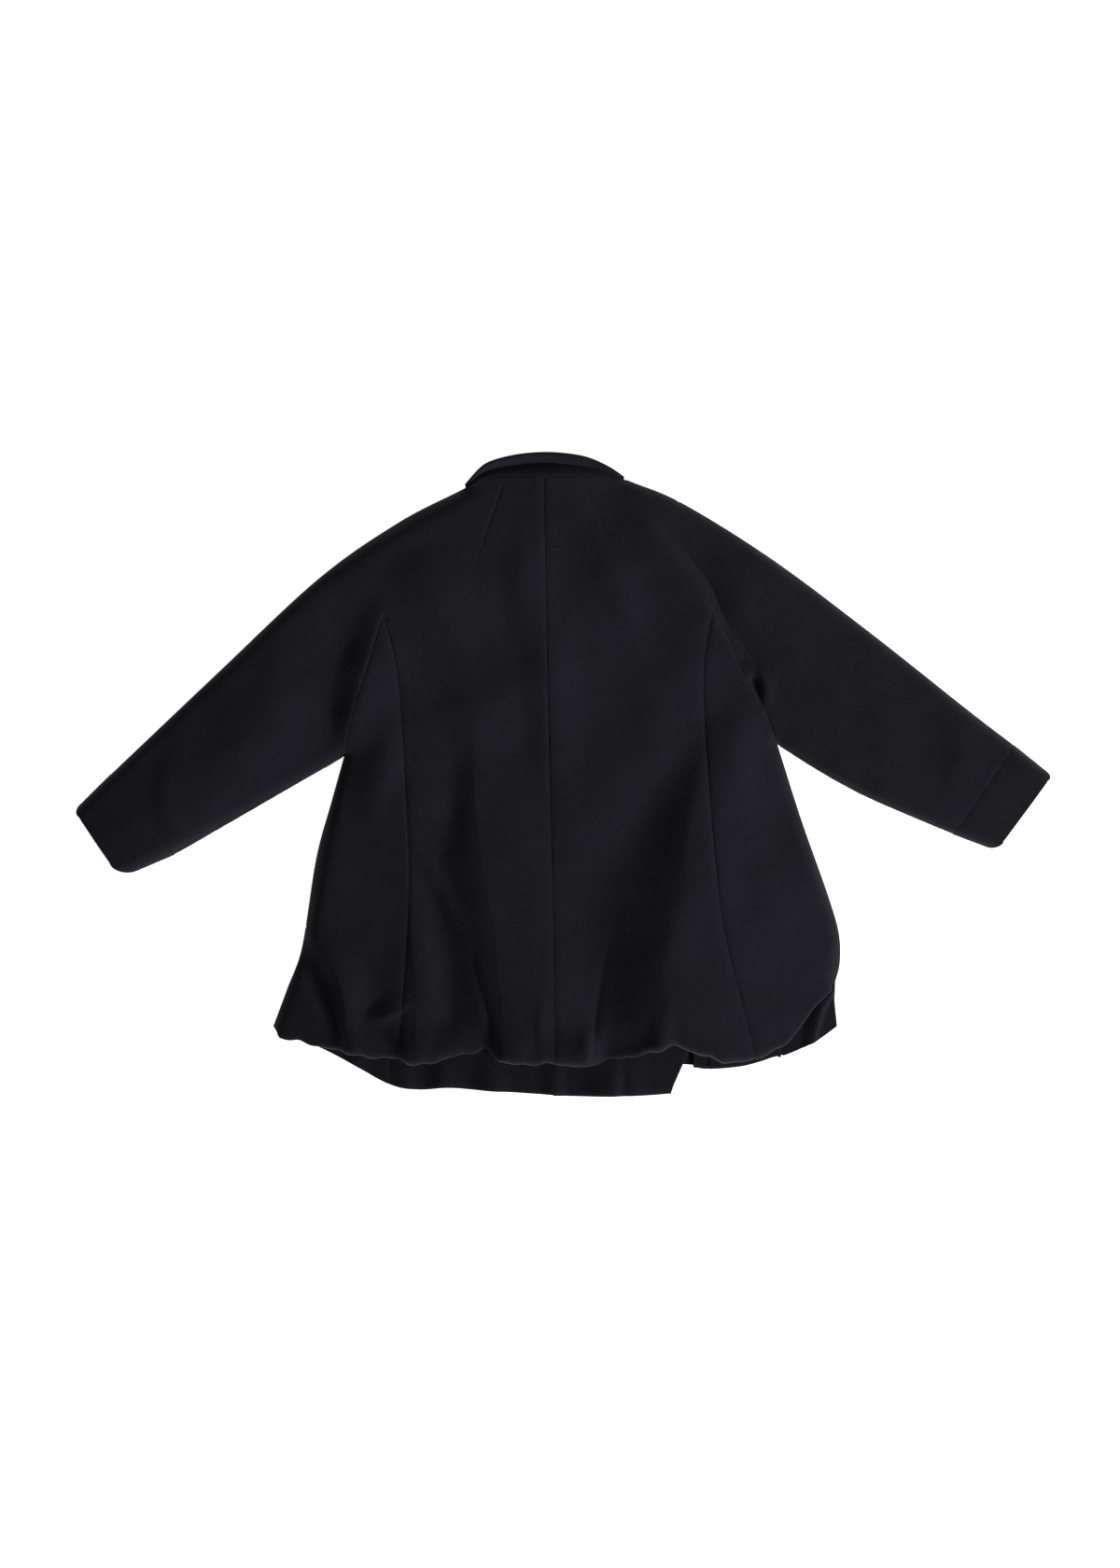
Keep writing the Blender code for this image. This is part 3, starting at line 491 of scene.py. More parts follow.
def felted_nap():
    """Felted wool: a fine nap of matted fibres, some of them lighter, over slow changes of tone."""
    group = bpy.data.node_groups.new("felted_nap", "ShaderNodeTree")
    face = group.interface
    for socket, kind in (("Cloth", "NodeSocketColor"), ("Fibre", "NodeSocketColor"),
                         ("Fibres per metre", "NodeSocketFloat"), ("Fibre share", "NodeSocketFloat"),
                         ("Mottle", "NodeSocketFloat")):
        face.new_socket(socket, in_out="INPUT", socket_type=kind)
    for socket, kind in (("Colour", "NodeSocketColor"), ("Roughness", "NodeSocketFloat"),
                         ("Height", "NodeSocketFloat")):
        face.new_socket(socket, in_out="OUTPUT", socket_type=kind)
    nodes, link = group.nodes, group.links.new
    given, result = nodes.new("NodeGroupInput"), nodes.new("NodeGroupOutput")
    place = nodes.new("ShaderNodeTexCoord")

    def made(kind, output, values, operation=None):
        node = nodes.new(kind)
        if operation:
            node.operation = operation
        for socket, value in values.items():
            if isinstance(value, float):
                node.inputs[socket].default_value = value
            else:
                link(value, node.inputs[socket])
        return node.outputs[output]

    def noise(scale, detail, roughness, distortion):
        return made("ShaderNodeTexNoise", "Fac",
                    {"Vector": place.outputs["Object"], "Scale": scale, "Detail": detail,
                     "Roughness": roughness, "Distortion": distortion})

    def sums(operation, a, b):
        return made("ShaderNodeMath", 0, {0: a, 1: b}, operation)

    def spread(value, low, high, to_low, to_high):
        return made("ShaderNodeMapRange", "Result",
                    {"Value": value, "From Min": low, "From Max": high, "To Min": to_low, "To Max": to_high})

    def swing(value, share):
        return sums("MULTIPLY", spread(value, 0.3, 0.7, -1.0, 1.0), share)

    nap = noise(given.outputs["Fibres per metre"], 3.0, 0.65, 0.6)
    strands = noise(given.outputs["Fibres per metre"], 4.0, 0.7, 2.6)
    tone = noise(TONES_PER_METRE, 3.0, 0.55, 0.0)
    flock = noise(FLOCKS_PER_METRE, 2.0, 0.5, 0.8)
    light = sums("MULTIPLY", spread(strands, 0.52, 0.72, 0.0, 1.0), given.outputs["Fibre share"])
    mix = nodes.new("ShaderNodeMix")
    mix.data_type = "RGBA"
    link(light, mix.inputs["Factor"])
    link(given.outputs["Cloth"], mix.inputs["A"])
    link(given.outputs["Fibre"], mix.inputs["B"])
    grain = sums("ADD", swing(nap, NAP_SHADE), swing(flock, FLOCK_SHADE))
    shade = sums("ADD", sums("ADD", swing(tone, given.outputs["Mottle"]), grain), 1.0)
    shaded = {"Vector": mix.outputs["Result"], "Scale": shade}
    link(made("ShaderNodeVectorMath", "Vector", shaded, "SCALE"), result.inputs["Colour"])
    link(spread(nap, 0.25, 0.75, 0.86, 1.0), result.inputs["Roughness"])
    link(sums("ADD", sums("MULTIPLY", strands, STRAND_RELIEF), nap), result.inputs["Height"])
    return group


NAP = felted_nap()


def wool(name, cloth, fibre, fibres_per_metre=700.0, fibre_share=0.35, mottle=0.12):
    """A wool material with a soft sheen from its nap."""
    material = bpy.data.materials.new(name)
    material.use_nodes = True
    nodes, link = material.node_tree.nodes, material.node_tree.links.new
    shader = nodes["Principled BSDF"]
    shader.inputs["Specular IOR Level"].default_value = 0.1
    shader.inputs["Sheen Weight"].default_value = 0.12
    shader.inputs["Sheen Roughness"].default_value = 0.4
    shader.inputs["Sheen Tint"].default_value = (0.75, 0.76, 0.85, 1.0)
    nap = nodes.new("ShaderNodeGroup")
    nap.node_tree = NAP
    nap.inputs["Cloth"].default_value = (*cloth, 1.0)
    nap.inputs["Fibre"].default_value = (*fibre, 1.0)
    nap.inputs["Fibres per metre"].default_value = fibres_per_metre
    nap.inputs["Fibre share"].default_value = fibre_share
    nap.inputs["Mottle"].default_value = mottle
    bump = nodes.new("ShaderNodeBump")
    bump.inputs["Strength"].default_value = 0.5
    bump.inputs["Distance"].default_value = 0.0006
    link(nap.outputs["Colour"], shader.inputs["Base Color"])
    link(nap.outputs["Roughness"], shader.inputs["Roughness"])
    link(nap.outputs["Height"], bump.inputs["Height"])
    link(bump.outputs["Normal"], shader.inputs["Normal"])
    return material


NAVY = (0.0072, 0.0066, 0.0101)
NAVY_FIBRE = (0.020, 0.019, 0.026)
NAVY_WOOL = wool("navy_wool", NAVY, NAVY_FIBRE)


def hem_depths(x):
    """The y of each pattern point down the rolled hem at x; the last is where its cloth ends."""
    roll, start, _ = hem_at(x)
    first, last = BACK_HEM[0][0] + HEM_END, BACK_HEM[-1][0] - HEM_END
    total = (math.pi * roll + HEM_TURN) * ease((x - first) / HEM_TAPER) * ease((last - x) / HEM_TAPER)
    round_the_roll = np.arange(0.0, min(math.pi * roll + HEM_MESH, total - HEM_LAST), HEM_MESH)
    return [start - past for past in round_the_roll] + [start - total]


def hem_places(first, last):
    """Places x along the balloon hem."""
    run = np.append(0.0, np.cumsum(np.hypot(*np.diff(HEM_CURVE[:, :2], axis=0).T)))
    start, stop = np.interp((first, last), HEM_CURVE[:, 0], run)
    even = np.linspace(start, stop, max(3, round(abs(stop - start) / HEM_PLACE)))
    return np.interp(even, run, HEM_CURVE[:, 0])


def hem_rows(first, last):
    """Points down the rolled hem between two x."""
    return np.array([(x, y) for x in hem_places(first, last)[1:-1] for y in hem_depths(x)[:-1]])


def hem_end(first, last):
    """Lower edge of the turned-under cloth between two x."""
    return np.array([(x, hem_depths(x)[-1]) for x in hem_places(first, last)])


def to_hem(seam):
    """A seam of the back cut off where the hem begins to roll, then taken down round the roll."""
    line = smooth(seam)
    start = hem_at(line[:, 0])[1]
    x = float(np.interp(start[-1], line[::-1, 1], line[::-1, 0]))
    depths = hem_depths(x)
    turned = np.linspace(depths[-2], depths[-1], HEM_TURN_POINTS)[1:]
    return np.vstack([line[line[:, 1] > start + SEAM_CLEAR], [(x, y) for y in [*depths[:-1], *turned]]])


def sleeve_part(line, end):
    """The stretch of a sleeve edge up to the cuff seam."""
    curve = smooth(line)
    run = np.append(0.0, np.cumsum(np.linalg.norm(np.diff(curve, axis=0), axis=1)))
    stop = run[np.linalg.norm(curve - end, axis=1).argmin()]
    return np.vstack([curve[run < stop - LINE_STEP / 2], [end]])


def sleeve_end(half):
    """The outline of a sleeve: underarm from the armpit, cuff seam, and overarm back to the neck."""
    over, under = half["cuff seam"]
    return (sleeve_part(half["underarm"], under), smooth((under, over)),
            sleeve_part(half["overarm"], over)[::-1])


def inside(points, ring):
    """Which points lie inside an outline."""
    x, y = points[:, :1], points[:, 1:]
    begin, end = ring, np.roll(ring, -1, axis=0)
    begin, end = begin[begin[:, 1] != end[:, 1]], end[begin[:, 1] != end[:, 1]]
    crossing = begin[:, 0] + (end - begin)[:, 0] * (y - begin[:, 1]) / (end - begin)[:, 1]
    return (((begin[:, 1] > y) != (end[:, 1] > y)) & (crossing > x)).sum(axis=1) % 2 == 1


def rows_along(paths, ring):
    """Points in an outline along some folds, and close to each side of them."""
    rows = []
    for path in paths:
        line = smooth(path, CREASE_STEP)[:, :2]
        run = np.gradient(line, axis=0)
        aside = np.column_stack([-run[:, 1], run[:, 0]]) / np.linalg.norm(run, axis=1)[:, None]
        rows += [line + aside * off for off in CREASE_OFFSETS]
    rows = np.vstack(rows)
    return rows[inside(rows, ring)]


def crease_rows(ring):
    """Points in an outline of the back along its grooves and crisp folds, as far as the hem's roll."""
    rows = rows_along([*GROOVES.values(), *(FOLDS[name] for name in CRISP + SHARP)], ring)
    return rows[rows[:, 1] > hem_at(rows[:, 0])[1] + HEM_MESH]


for side, half in BACK.items():
    centre, seam = to_hem(CENTRE_BACK), to_hem(half["side seam"])
    armhole = short_of_end(smooth(half["armhole"]), ARMPIT_CLEAR)
    under, cuff, over = sleeve_end(half)
    under = short_of_end(under[::-1], ARMPIT_CLEAR)[::-1]
    ring = joined(centre, hem_end(centre[-1, 0], seam[-1, 0]), seam[::-1], armhole, under, cuff, over,
                  smooth(half["neck"])[::-1])
    rows = np.vstack([hem_rows(centre[-1, 0], seam[-1, 0]), crease_rows(ring)])
    pattern, triangles, share = cut_cloth(ring, BACK_MESH, rows)
    for line, place in ((cuff, side), (smooth(half["neck"]), "neck")):
        soft = distance(pattern, line) < 2 * LIP_ROWS[-1]
        share[soft] = 1.0 - (1.0 - share[soft]) * SOFT_SEAM[place]
    back, area = wool_shell("wool_back_" + side, drape_back(pattern), triangles, share, NAVY_WOOL,
                            EDGE_HEIGHT, slopes(pattern[share < 1.0]))
    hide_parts("back_" + side)
    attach(back, "root")

# Side back panels
# A gore of the same wool under each arm, sewn to the back half along the armhole and the side seam. It
# runs from a point near the shoulder blade to the balloon hem, and its outer edge is the side of the coat.
for side, half in BACK.items():
    seam = to_hem(half["side seam"])
    armhole = short_of_end(smooth(half["armhole"]), ARMPIT_CLEAR)
    edge = short_of_end(smooth(half["side edge"])[::-1], ARMPIT_CLEAR)
    ring = joined(seam, hem_end(seam[-1, 0], edge[0, 0]), edge[1:], armhole[::-1])
    rows = np.vstack([hem_rows(seam[-1, 0], edge[0, 0]), crease_rows(ring)])
    pattern, triangles, share = cut_cloth(ring, BACK_MESH, rows)
    gore, area = wool_shell("wool_side_back_" + side, drape_back(pattern), triangles, share, NAVY_WOOL,
                            EDGE_HEIGHT, slopes(pattern[share < 1.0]))
    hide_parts("side_back_" + side)
    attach(gore, "root")

# Fronts and side fronts
# Two fronts, each cut in one with the front of its sleeve, and a gore beside each, all face down on the
# floor. The left front laps over the right one, and the hems are turned up inside by hand.
FRONT_MESH = 6.0
FRONT = {
    "left": {
        "neck": ((-93, 261), (-80, 228), (-52, 203), (-14, 192)),
        "edge": ((-14, 192), (62, 188), (84, 100), (110, -150), (118, -254), (100, -295)),
        "armhole": ((-168, 128), (-182, 84), (-201, 16)),
        "seam": ((-168, 128), (-152, 40), (-150, -150), (-160, -330)),
        "side edge": BACK["left"]["side edge"],
        "hem": ((-266, -235), (-224, -253), (-193, -269), (-160, -287), (-132, -292), (-108, -290),
                (-80, -292), (-50, -294), (2, -297), (66, -297), (100, -295)),
        "turn-up": (-226, -8),      # x where the turned-up hem begins and ends
    },
    "right": {
        "neck": ((60, 270), (47, 230), (22, 203), (-14, 192)),
        "edge": ((-14, 192), (-90, 188), (-100, 0), (-112, -268)),
        "armhole": ((146, 130), (172, 78), (198, 27)),
        "seam": ((146, 130), (134, 40), (134, -150), (134, -330)),
        "side edge": (*BACK["right"]["side edge"], (252, -212), (254, -233)),
        "hem": ((-112, -267), (0, -269), (110, -271), (134, -273), (162, -271), (180, -267),
                (199, -261), (205, -263), (234, -250), (254, -236)),
        "turn-up": (202, 121),
    },
}
TURN_ROLL = 1.5        # radius of the fold at the front hem
TURN_UP = 42.0         # cloth turned up inside the front hem
TURN_ROWS = 6          # rows of points round that fold
TURN_POINTS = 8        # points of a seam across the turned-up cloth
EDGE_CLEAR = 3.0       # the points of an edge stop this far above the hem
LAP_RAMP = 14.0        # length of the slope where the left front climbs onto the right one
LAP_CLEAR = 3.0        # from the top of that slope to the right front's edge
LAP_ABOVE = 4.0        # further distance at that front's top

# Folds of the fronts, with the same columns as the back's: soft ones in the hem that shows below the
# back, a folded-in corner at the right, and a few creases on the side that lies on the floor
FRONT_FOLDS = {
    "hem left": ((-196, -240, 0.3, 12, 12), (-190, -268, 3, 12, 14)),
    "hem at seam": ((-150, -254, 0.3, 12, 14), (-148, -274, 3, 12, 16), (-147, -294, 5, 12, 16)),
    "hem of front": ((-112, -258, 0.3, 14, 16), (-110, -274, 3, 16, 18), (-111, -296, 5, 16, 18)),
    "hem middle": ((-66, -258, 0.3, 16, 18), (-66, -274, 4, 20, 18), (-65, -298, 8, 22, 20)),
    "hem at facing": ((-9, -262, 0.3, 10, 12), (-8, -276, 2.5, 13, 12), (-8, -300, 6, 14, 12)),
    "hem of facing": ((48, -262, 0.3, 26, 12), (47, -276, 3.5, 34, 14), (46, -300, 9, 38, 14)),
    "hem near edge": ((64, -260, 0.3, 7, 14), (63, -276, 1.5, 8, 16), (62, -300, 3, 9, 18)),
    "right corner": ((250, -184, 0.5, 10, 4), (249.5, -201, 4, 13, 4), (241, -216, 5, 15, 4),
                     (236, -231, 5, 15, 4), (233, -243, 4, 13, 4), (231, -254, 4, 12, 4)),
    "left front": ((-60, 40, 0.3, 30, 30), (-75, -80, 2, 34, 30), (-82, -210, 2, 34, 30)),
    "right front": ((60, 60, 0.3, 28, 30), (72, -60, 2, 30, 32), (78, -200, 2, 30, 30)),
    "left sleeve front": ((-240, 60, 0.3, 20, 20), (-300, 10, 2, 22, 22), (-360, -40, 0.3, 18, 18)),
    "right sleeve front": ((250, 60, 0.3, 20, 20), (310, 25, 2, 22, 22), (370, -10, 0.3, 18, 18)),
}


def straight(points, step=FRONT_MESH):
    """Straight runs from point to point, with a point about every step."""
    return np.vstack([smooth(pair, step)[:-1] for pair in zip(points, points[1:])] + [points[-1:]])


def front_hem_start(half, x):
    """The y where a front's hem begins to fold."""
    line = smooth(half["hem"])
    return np.interp(x, line[:, 0], line[:, 1]) + TURN_ROLL


def front_hem(half, first, last, drop=0.0):
    """A front's hem between two x, or a line that lies a drop below it on the pattern."""
    xs = np.linspace(first, last, max(3, round(abs(last - first) / LINE_STEP) + 1))
    return np.column_stack([xs, front_hem_start(half, xs) - drop])


def drape_front(half, pattern):
    """Places pattern points of a front, turning its hem up and lapping the left front over the right."""
    x, y = pattern.T
    start = front_hem_start(half, x)
    past = np.maximum(start - y, 0.0)
    angle = np.clip(past / TURN_ROLL, 0.0, math.pi)
    out = TURN_ROLL * np.sin(angle) - np.maximum(past - math.pi * TURN_ROLL, 0.0)
    level = np.maximum(y, start) - out
    height = PLY + TURN_ROLL * (1.0 - np.cos(angle))
    if half is FRONT["left"]:
        under = np.array(FRONT["right"]["edge"][:0:-1], float)
        climb = 1.0
        for over in (x - np.interp(level, under[:, 1], under[:, 0]), under[-1, 1] + LAP_ABOVE - level):
            climb = climb * np.clip((over + LAP_CLEAR) / LAP_RAMP + 1.0, 0.0, 1.0)
        height = height + EDGE_HEIGHT * climb
    return np.column_stack([x, level, height + folded(np.column_stack([x, level]), FRONT_FOLDS)])


TURN_DEPTHS = (*np.linspace(0.0, math.pi * TURN_ROLL, TURN_ROWS), math.pi * TURN_ROLL + TURN_UP)


def turn_end(half, x):
    """Points round the fold of a turned-up hem at x, from the hem to the end of its cloth."""
    depths = (*TURN_DEPTHS[:-1], *np.linspace(*TURN_DEPTHS[-2:], TURN_POINTS)[1:])
    return np.array([(x, front_hem_start(half, x) - depth) for depth in depths])


def turn_rows(half, first, last):
    """Points round the fold of a turned-up hem between two x."""
    return np.vstack([front_hem(half, first, last, depth)[1:-1] for depth in TURN_DEPTHS[:-1]])


for side, half in FRONT.items():
    outer_x, inner_x = half["turn-up"]
    seam_x = half["seam"][-1][0]
    seam = smooth(half["seam"])
    seam = seam[seam[:, 1] > front_hem_start(half, seam_x) + SEAM_CLEAR]
    armhole = smooth(half["armhole"])
    plain = front_hem(half, half["edge"][-1][0], inner_x)
    edge = straight(half["edge"])
    edge = edge[edge[:, 1] > plain[0, 1] + EDGE_CLEAR]
    turned = front_hem(half, inner_x, seam_x, TURN_DEPTHS[-1])
    ring = joined(edge, plain, turn_end(half, inner_x), turned, turn_end(half, seam_x)[::-1],
                  seam[::-1], armhole, *sleeve_end(BACK[side]), smooth(half["neck"]))
    pattern, triangles, share = cut_cloth(ring, FRONT_MESH, turn_rows(half, inner_x, seam_x))
    front, area = wool_shell("wool_front_" + side, drape_front(half, pattern), triangles, share, NAVY_WOOL)
    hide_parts("front_" + side)
    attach(front, "root")

    outer = smooth(half["side edge"])[:-1]
    plain = front_hem(half, outer_x, half["side edge"][-1][0])
    turned = front_hem(half, seam_x, outer_x, TURN_DEPTHS[-1])
    ring = joined(seam, turn_end(half, seam_x), turned, turn_end(half, outer_x)[::-1], plain,
                  outer[::-1], armhole[::-1])
    rows = np.vstack([turn_rows(half, seam_x, outer_x), rows_along([FRONT_FOLDS["right corner"]], ring)])
    pattern, triangles, share = cut_cloth(ring, BACK_MESH, rows)
    gore, area = wool_shell("wool_side_front_" + side, drape_front(half, pattern), triangles, share,
                            NAVY_WOOL)
    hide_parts("side_front_" + side)
    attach(gore, "root")

# Front facing
# A strip of the same wool on the inside of the left front's edge. Only its lower end shows, below the
# balloon hem, where a seam joins it to the turned-up hem.
FACING_TOP = -236.0    # y where it ends, under the back
FACING_DROP = TURN_ROLL + PLY   # its hem reaches down as far as the fold beside it
FACING_ROUND = 5.0     # width over which its hem rounds down
FACING_LOW = 0.1       # share of its height that is left at the hem
INNER_ROW = 4.0        # a further row of points this far inside the edge of a small piece
half = FRONT["left"]
seam_x = half["turn-up"][1]
hem = front_hem(half, seam_x, half["edge"][-1][0], FACING_DROP)
edge = straight(half["edge"], LINE_STEP)
edge = edge[(edge[:, 1] < FACING_TOP) & (edge[:, 1] > hem[-1, 1] + EDGE_CLEAR)]
top = smooth(((edge[0, 0], FACING_TOP), (seam_x, FACING_TOP)))
end = smooth(((seam_x, FACING_TOP), hem[0]))
ring = joined(hem, edge[::-1], top, end[1:-1])
pattern, triangles, share = cut_cloth(ring, LINE_STEP, drawn_in(ring, INNER_ROW))
start = front_hem_start(half, pattern[:, 0])
lifted = drape_front(half, np.column_stack([pattern[:, 0], np.maximum(pattern[:, 1], start)]))
lifted[:, 1] = pattern[:, 1]
past = np.clip((start - pattern[:, 1] + FACING_ROUND - FACING_DROP) / FACING_ROUND, 0.0, 1.0)
lifted[:, 2] += 2 * TURN_ROLL * (FACING_LOW + (1.0 - FACING_LOW) * np.sqrt(1.0 - past ** 2))
facing, area = wool_shell("wool_facing_left", lifted, triangles, share, NAVY_WOOL)
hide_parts("facing_left")
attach(facing, "root")

# Cuffs
# A straight band of wool round each sleeve end, sewn on with a plain seam and turned in at its edge. As
# the sleeve lies flat, the band is a flattened ring that is arched a little over its hollow.
CUFF_EDGE = {"left": ((-450, -35), (-408, -96)), "right": ((451, -3), (401, -71))}
CUFF_CORNERS = {"left": (6, 15), "right": (4, 9)}   # radius of the upper and the lower corner
CUFF_TOP_POINTS = 65   # across the upper layer
CUFF_FLOOR_POINTS = 33         # and across the lower one
CUFF_FLOOR_INSET = 0.015       # share of the width by which the lower layer stays inside the upper one
CUFF_FIRST_ROW = 4.0   # from the seam to the first even row
CUFF_FINE = 11.0       # stretch at the outer edge where rows are 1 mm apart, for the round corners
CUFF_LAST_ROW = 2.9    # and where they end before the edge's own rows


def corner_inset(place, length, radius):
    """How far a band draws in at a place near its end, where its corner is rounded."""
    past = np.clip((place - length + radius) / radius, 0.0, 1.0)
    return radius * (1.0 - math.sqrt(1.0 - past ** 2))


def grid_triangles(lines, count, closed):
    """Triangles over lines of points, each with the same count, closed round or open."""
    triangles = []
    for i in range(lines - 1):
        for j in range(count if closed else count - 1):
            a, b = i * count + j, i * count + (j + 1) % count
            triangles += [(a, b, b + count), (a, b + count, a + count)]
    return np.array(triangles)


for side, half in BACK.items():
    seam, edge = np.array(half["cuff seam"], float), np.array(CUFF_EDGE[side], float)
    length = np.linalg.norm((edge - seam).mean(axis=0))
    lips = np.array((0.0, *LIP_ROWS))
    places = np.concatenate([lips,
                             np.arange(CUFF_FIRST_ROW, length - CUFF_FINE - 1.0, BACK_MESH),
                             np.arange(length - CUFF_FINE, length - CUFF_LAST_ROW, 1.0),
                             length - lips[::-1]])
    across = 0.5 - 0.5 * np.cos(np.linspace(0.0, math.pi, CUFF_TOP_POINTS))
    rings = []
    for place in places:
        first, last = seam + (edge - seam) * (place - SEAM_PRESS) / length
        along = (last - first) / np.linalg.norm(last - first)
        upper, lower = CUFF_CORNERS[side]
        first = first + along * corner_inset(place, length, upper)
        last = last - along * corner_inset(place, length, lower)
        top = first + (last - first) * across[:, None]
        back_across = np.linspace(1.0 - CUFF_FLOOR_INSET, CUFF_FLOOR_INSET, CUFF_FLOOR_POINTS)
        low = first + (last - first) * back_across[:, None]
        rings.append(np.vstack([np.column_stack([top, back_height(top)]),
                                np.column_stack([low, np.full(len(low), PLY)])]))
    rings = np.array(rings)
    share = np.ones(rings.shape[:2])
    share[:len(lips)] = 1.0 - (1.0 - np.array(LIP_SHARES)[:, None]) * SOFT_SEAM[side]
    share[-len(lips):] = np.array(LIP_SHARES)[::-1, None]
    triangles = grid_triangles(*rings.shape[:2], True)
    if side == "right":
        triangles = triangles[:, ::-1]
    cuff, area = wool_shell("wool_cuff_" + side, rings.reshape(-1, 3), triangles, share.ravel(), NAVY_WOOL)
    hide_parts("cuff_" + side)
    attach(cuff, "root")

# Collar
# A narrow stand-up collar along the back neck. It stands up from the neck seam, leans away from it and
# rolls over at the top into a soft lip; a seam runs just inside the top, where its two layers are joined.
COLLAR_TOP = ((-93, 262), (-75, 282), (-62, 289), (-41, 294), (-19, 296), (2, 295), (24, 291),
              (44, 282), (60, 271))
COLLAR_ENDS = (-89, 56.5)
COLLAR_POINTS = 75
NECK_CURVE = 6         # degree of the curve that evens out the height of the neck
STAND_ROLL = 6.5       # radius with which the stand turns up below the lip
TOP_FOLD = 1.6         # radius of the fold along the top
ROLL_SHARE = 0.3       # at the collar's ends the stand's radius is this share of the collar's height
FOLD_SHARE = 0.2       # and the fold's radius is this one
STAND_FALL = 0.8       # mean fall of the stand away from the neck seam
STAND_CURVE = 1.4      # how much of it comes late
STAND_ROWS = np.arange(1, 10) / 10     # shares of the way up
LEAF_WIDTH = 6.6       # how far the lip reaches back over the stand
LEAF_LEAST = 0.3       # and how far at the collar's ends
LEAF_FALL = 0.72       # how steeply it falls
LEAF_ROWS = (0.06, 0.12, 0.18, 0.3, 0.45, 0.6, 0.75, 0.88, 0.95, 1.0)  # shares of its width
LEAF_SEAM = 0.12       # depth of its edge seam
LEAF_SEAM_ROW = 0.12   # the row that lies in that seam
NECK_SEAM = ((-4.0, 2.8), (-1.4, 2.2), (-0.5, 1.2), (0.0, 0.5), (0.6, 0.3))   # rows: y past it, depth
xs = np.linspace(*COLLAR_ENDS, COLLAR_POINTS)
neck = np.vstack([smooth(BACK["left"]["neck"])[::-1], smooth(BACK["right"]["neck"])[1:]])
top = smooth(COLLAR_TOP)
low = np.interp(xs, neck[:, 0], neck[:, 1])
high = np.interp(xs, top[:, 0], top[:, 1])
neck_height = np.polynomial.Polynomial.fit(xs, back_height(np.column_stack([xs, low])), NECK_CURVE)
begin = neck_height(xs)
tall = high - low
roll = np.minimum(STAND_ROLL, ROLL_SHARE * tall)
fold = np.minimum(TOP_FOLD, FOLD_SHARE * tall)
crest = high - roll - PLY
deep = STAND_FALL * (crest - low)
leaf = np.clip(tall - fold - 2 * PLY, LEAF_LEAST, LEAF_WIDTH)
base = begin - deep
rows = [np.column_stack([xs, low + off, begin - down]) for off, down in NECK_SEAM]
seam_off, seam_down = NECK_SEAM[-1]
for along in STAND_ROWS:
    y = low + seam_off + (crest - low - seam_off) * along
    rows.append(np.column_stack([xs, y, begin - seam_down - (deep - seam_down) * along ** STAND_CURVE]))
for angle in np.radians(np.arange(-90, 1, 10)):
    rows.append(np.column_stack([xs, crest + roll * np.cos(angle), base + roll * (1 + np.sin(angle))]))
for angle in np.radians(np.arange(15, 91, 15)):
    rows.append(np.column_stack([xs, crest + roll - fold * (1 - np.cos(angle)),
                                 base + roll + fold * np.sin(angle)]))
for along in LEAF_ROWS:
    reach = leaf * along
    seam_depth = LEAF_SEAM if along == LEAF_SEAM_ROW else 0.0
    rows.append(np.column_stack([xs, crest + roll - fold - reach,
                                 base + roll + fold - LEAF_FALL * reach - seam_depth]))
rows = np.array(rows)
share = np.ones(rows.shape[:2])
share[:3] = np.array(LIP_SHARES[:3])[:, None]
share[-3:] = np.array(LIP_SHARES[2::-1])[:, None]
triangles = grid_triangles(*rows.shape[:2], False)[:, ::-1]
collar, area = wool_shell("wool_collar", rows.reshape(-1, 3), triangles, share.ravel(), NAVY_WOOL)
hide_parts("collar")
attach(collar, "root")

# Front of the collar
# The collar goes on round the front neckline: on each side a plain flat band of the same wool, sewn to the
# front's neck edge. It lies on the floor, hidden under the back.
COLLAR_HEIGHT = 24.0
for side, turn, limit in (("left", 1, np.minimum), ("right", -1, np.maximum)):
    half = FRONT[side]
    curve = smooth(half["neck"])
    run = np.gradient(curve, axis=0)
    run /= np.linalg.norm(run, axis=1)[:, None]
    band = curve + turn * COLLAR_HEIGHT * np.column_stack([-run[:, 1], run[:, 0]])
    band[:, 0] = limit(band[:, 0], half["neck"][-1][0])
    ring = joined(curve, band[::-1])
    pattern, triangles, share = cut_cloth(ring, FRONT_MESH, drawn_in(ring, INNER_ROW))
    flat = np.column_stack([pattern, np.full(len(pattern), PLY)])
    band, area = wool_shell("wool_collar_front_" + side, flat, triangles, share, NAVY_WOOL)
    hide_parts("collar_front_" + side)
    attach(band, "root")

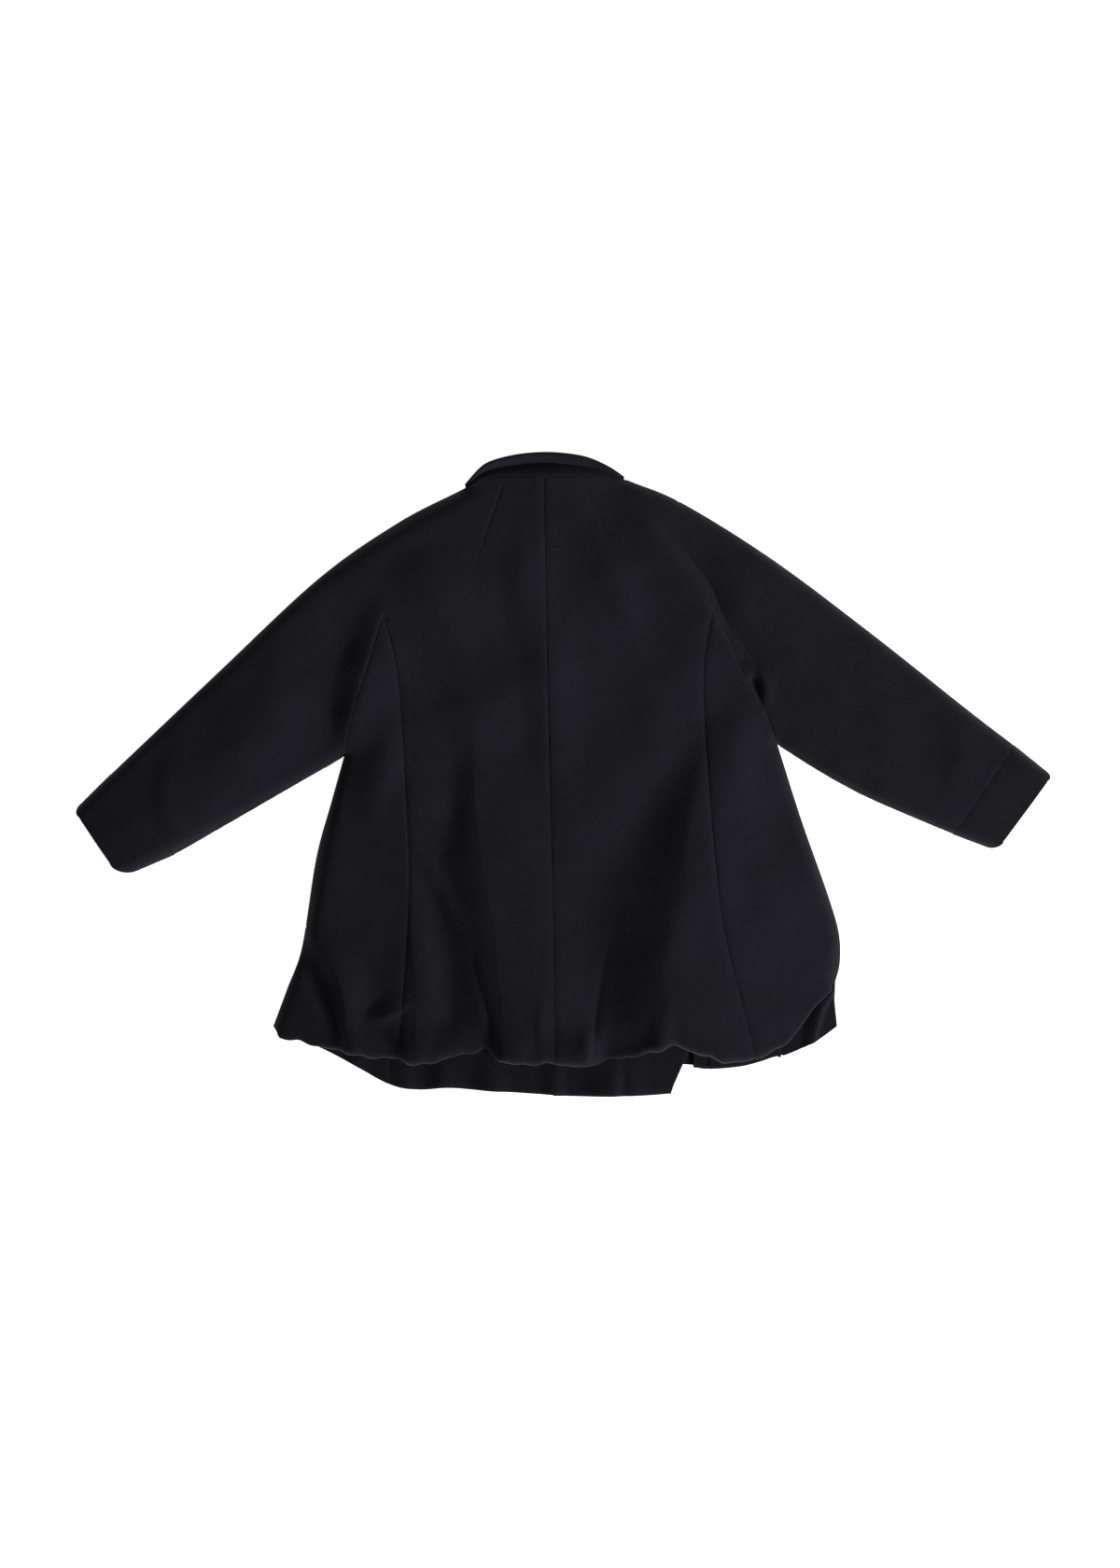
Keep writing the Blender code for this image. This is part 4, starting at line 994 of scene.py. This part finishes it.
# Studio
# A plain white floor, a broad soft light from the lower right of the picture and an even white room, seen
# straight down. The camera frames the coat as the picture does, 1200 by 1680 at 0.86 mm a pixel.
FLOOR = 6.0            # half the floor's side, in metres
KEY_PLACE = (2.73, -1.58, 1.74)        # metres
KEY_AIM = (-0.25, 0.43, 0.0)           # where its middle meets the floor
KEY_SPREAD = 32.0      # degrees
PIXEL = 0.86           # size of a pixel of the picture
PICTURE = (1200, 1680)
VIEW_CENTRE = (-2.2, -10.3)    # x, y in the middle of the picture
COAT_MIDDLE = 15.0     # height at which a pixel has that size
LENS = 85.0
SENSOR = 36.0
floor_mesh = bpy.data.meshes.new("floor")
floor_corners = [(-FLOOR, -FLOOR, 0), (FLOOR, -FLOOR, 0), (FLOOR, FLOOR, 0), (-FLOOR, FLOOR, 0)]
floor_mesh.from_pydata(floor_corners, [], [(0, 1, 2, 3)])
floor = bpy.data.objects.new("floor", floor_mesh)
bpy.context.scene.collection.objects.link(floor)
paper = bpy.data.materials.new("white_paper")
paper.use_nodes = True
paper_shader = paper.node_tree.nodes["Principled BSDF"]
paper_shader.inputs["Base Color"].default_value = (0.9, 0.9, 0.9, 1.0)
paper_shader.inputs["Emission Color"].default_value = (1.0, 1.0, 1.0, 1.0)
paper_shader.inputs["Emission Strength"].default_value = 0.85
paper_shader.inputs["Roughness"].default_value = 0.9
paper_shader.inputs["Specular IOR Level"].default_value = 0.1
floor_mesh.materials.append(paper)

world = bpy.data.worlds.new("white_room")
world.use_nodes = True
room_light = world.node_tree.nodes["Background"]
room_light.inputs["Color"].default_value = (0.97, 1.0, 0.92, 1.0)
room_light.inputs["Strength"].default_value = 0.28
bpy.context.scene.world = world

key_light = bpy.data.lights.new("soft_key", "AREA")
key_light.shape = "DISK"
key_light.size = 1.25
key_light.energy = 10.1
key_light.spread = math.radians(KEY_SPREAD)
key = bpy.data.objects.new("soft_key", key_light)
key.location = KEY_PLACE
key.rotation_euler = (Vector(KEY_AIM) - key.location).to_track_quat("-Z", "Y").to_euler()
bpy.context.scene.collection.objects.link(key)

camera_data = bpy.data.cameras.new("camera")
camera_data.lens = LENS
camera_data.sensor_width = SENSOR
camera = bpy.data.objects.new("camera", camera_data)
camera_height = PICTURE[1] * PIXEL * LENS / SENSOR + COAT_MIDDLE
camera.location = (VIEW_CENTRE[0] * MM, VIEW_CENTRE[1] * MM, camera_height * MM)
bpy.context.scene.collection.objects.link(camera)
bpy.context.scene.camera = camera
bpy.context.scene.view_settings.view_transform = "Standard"
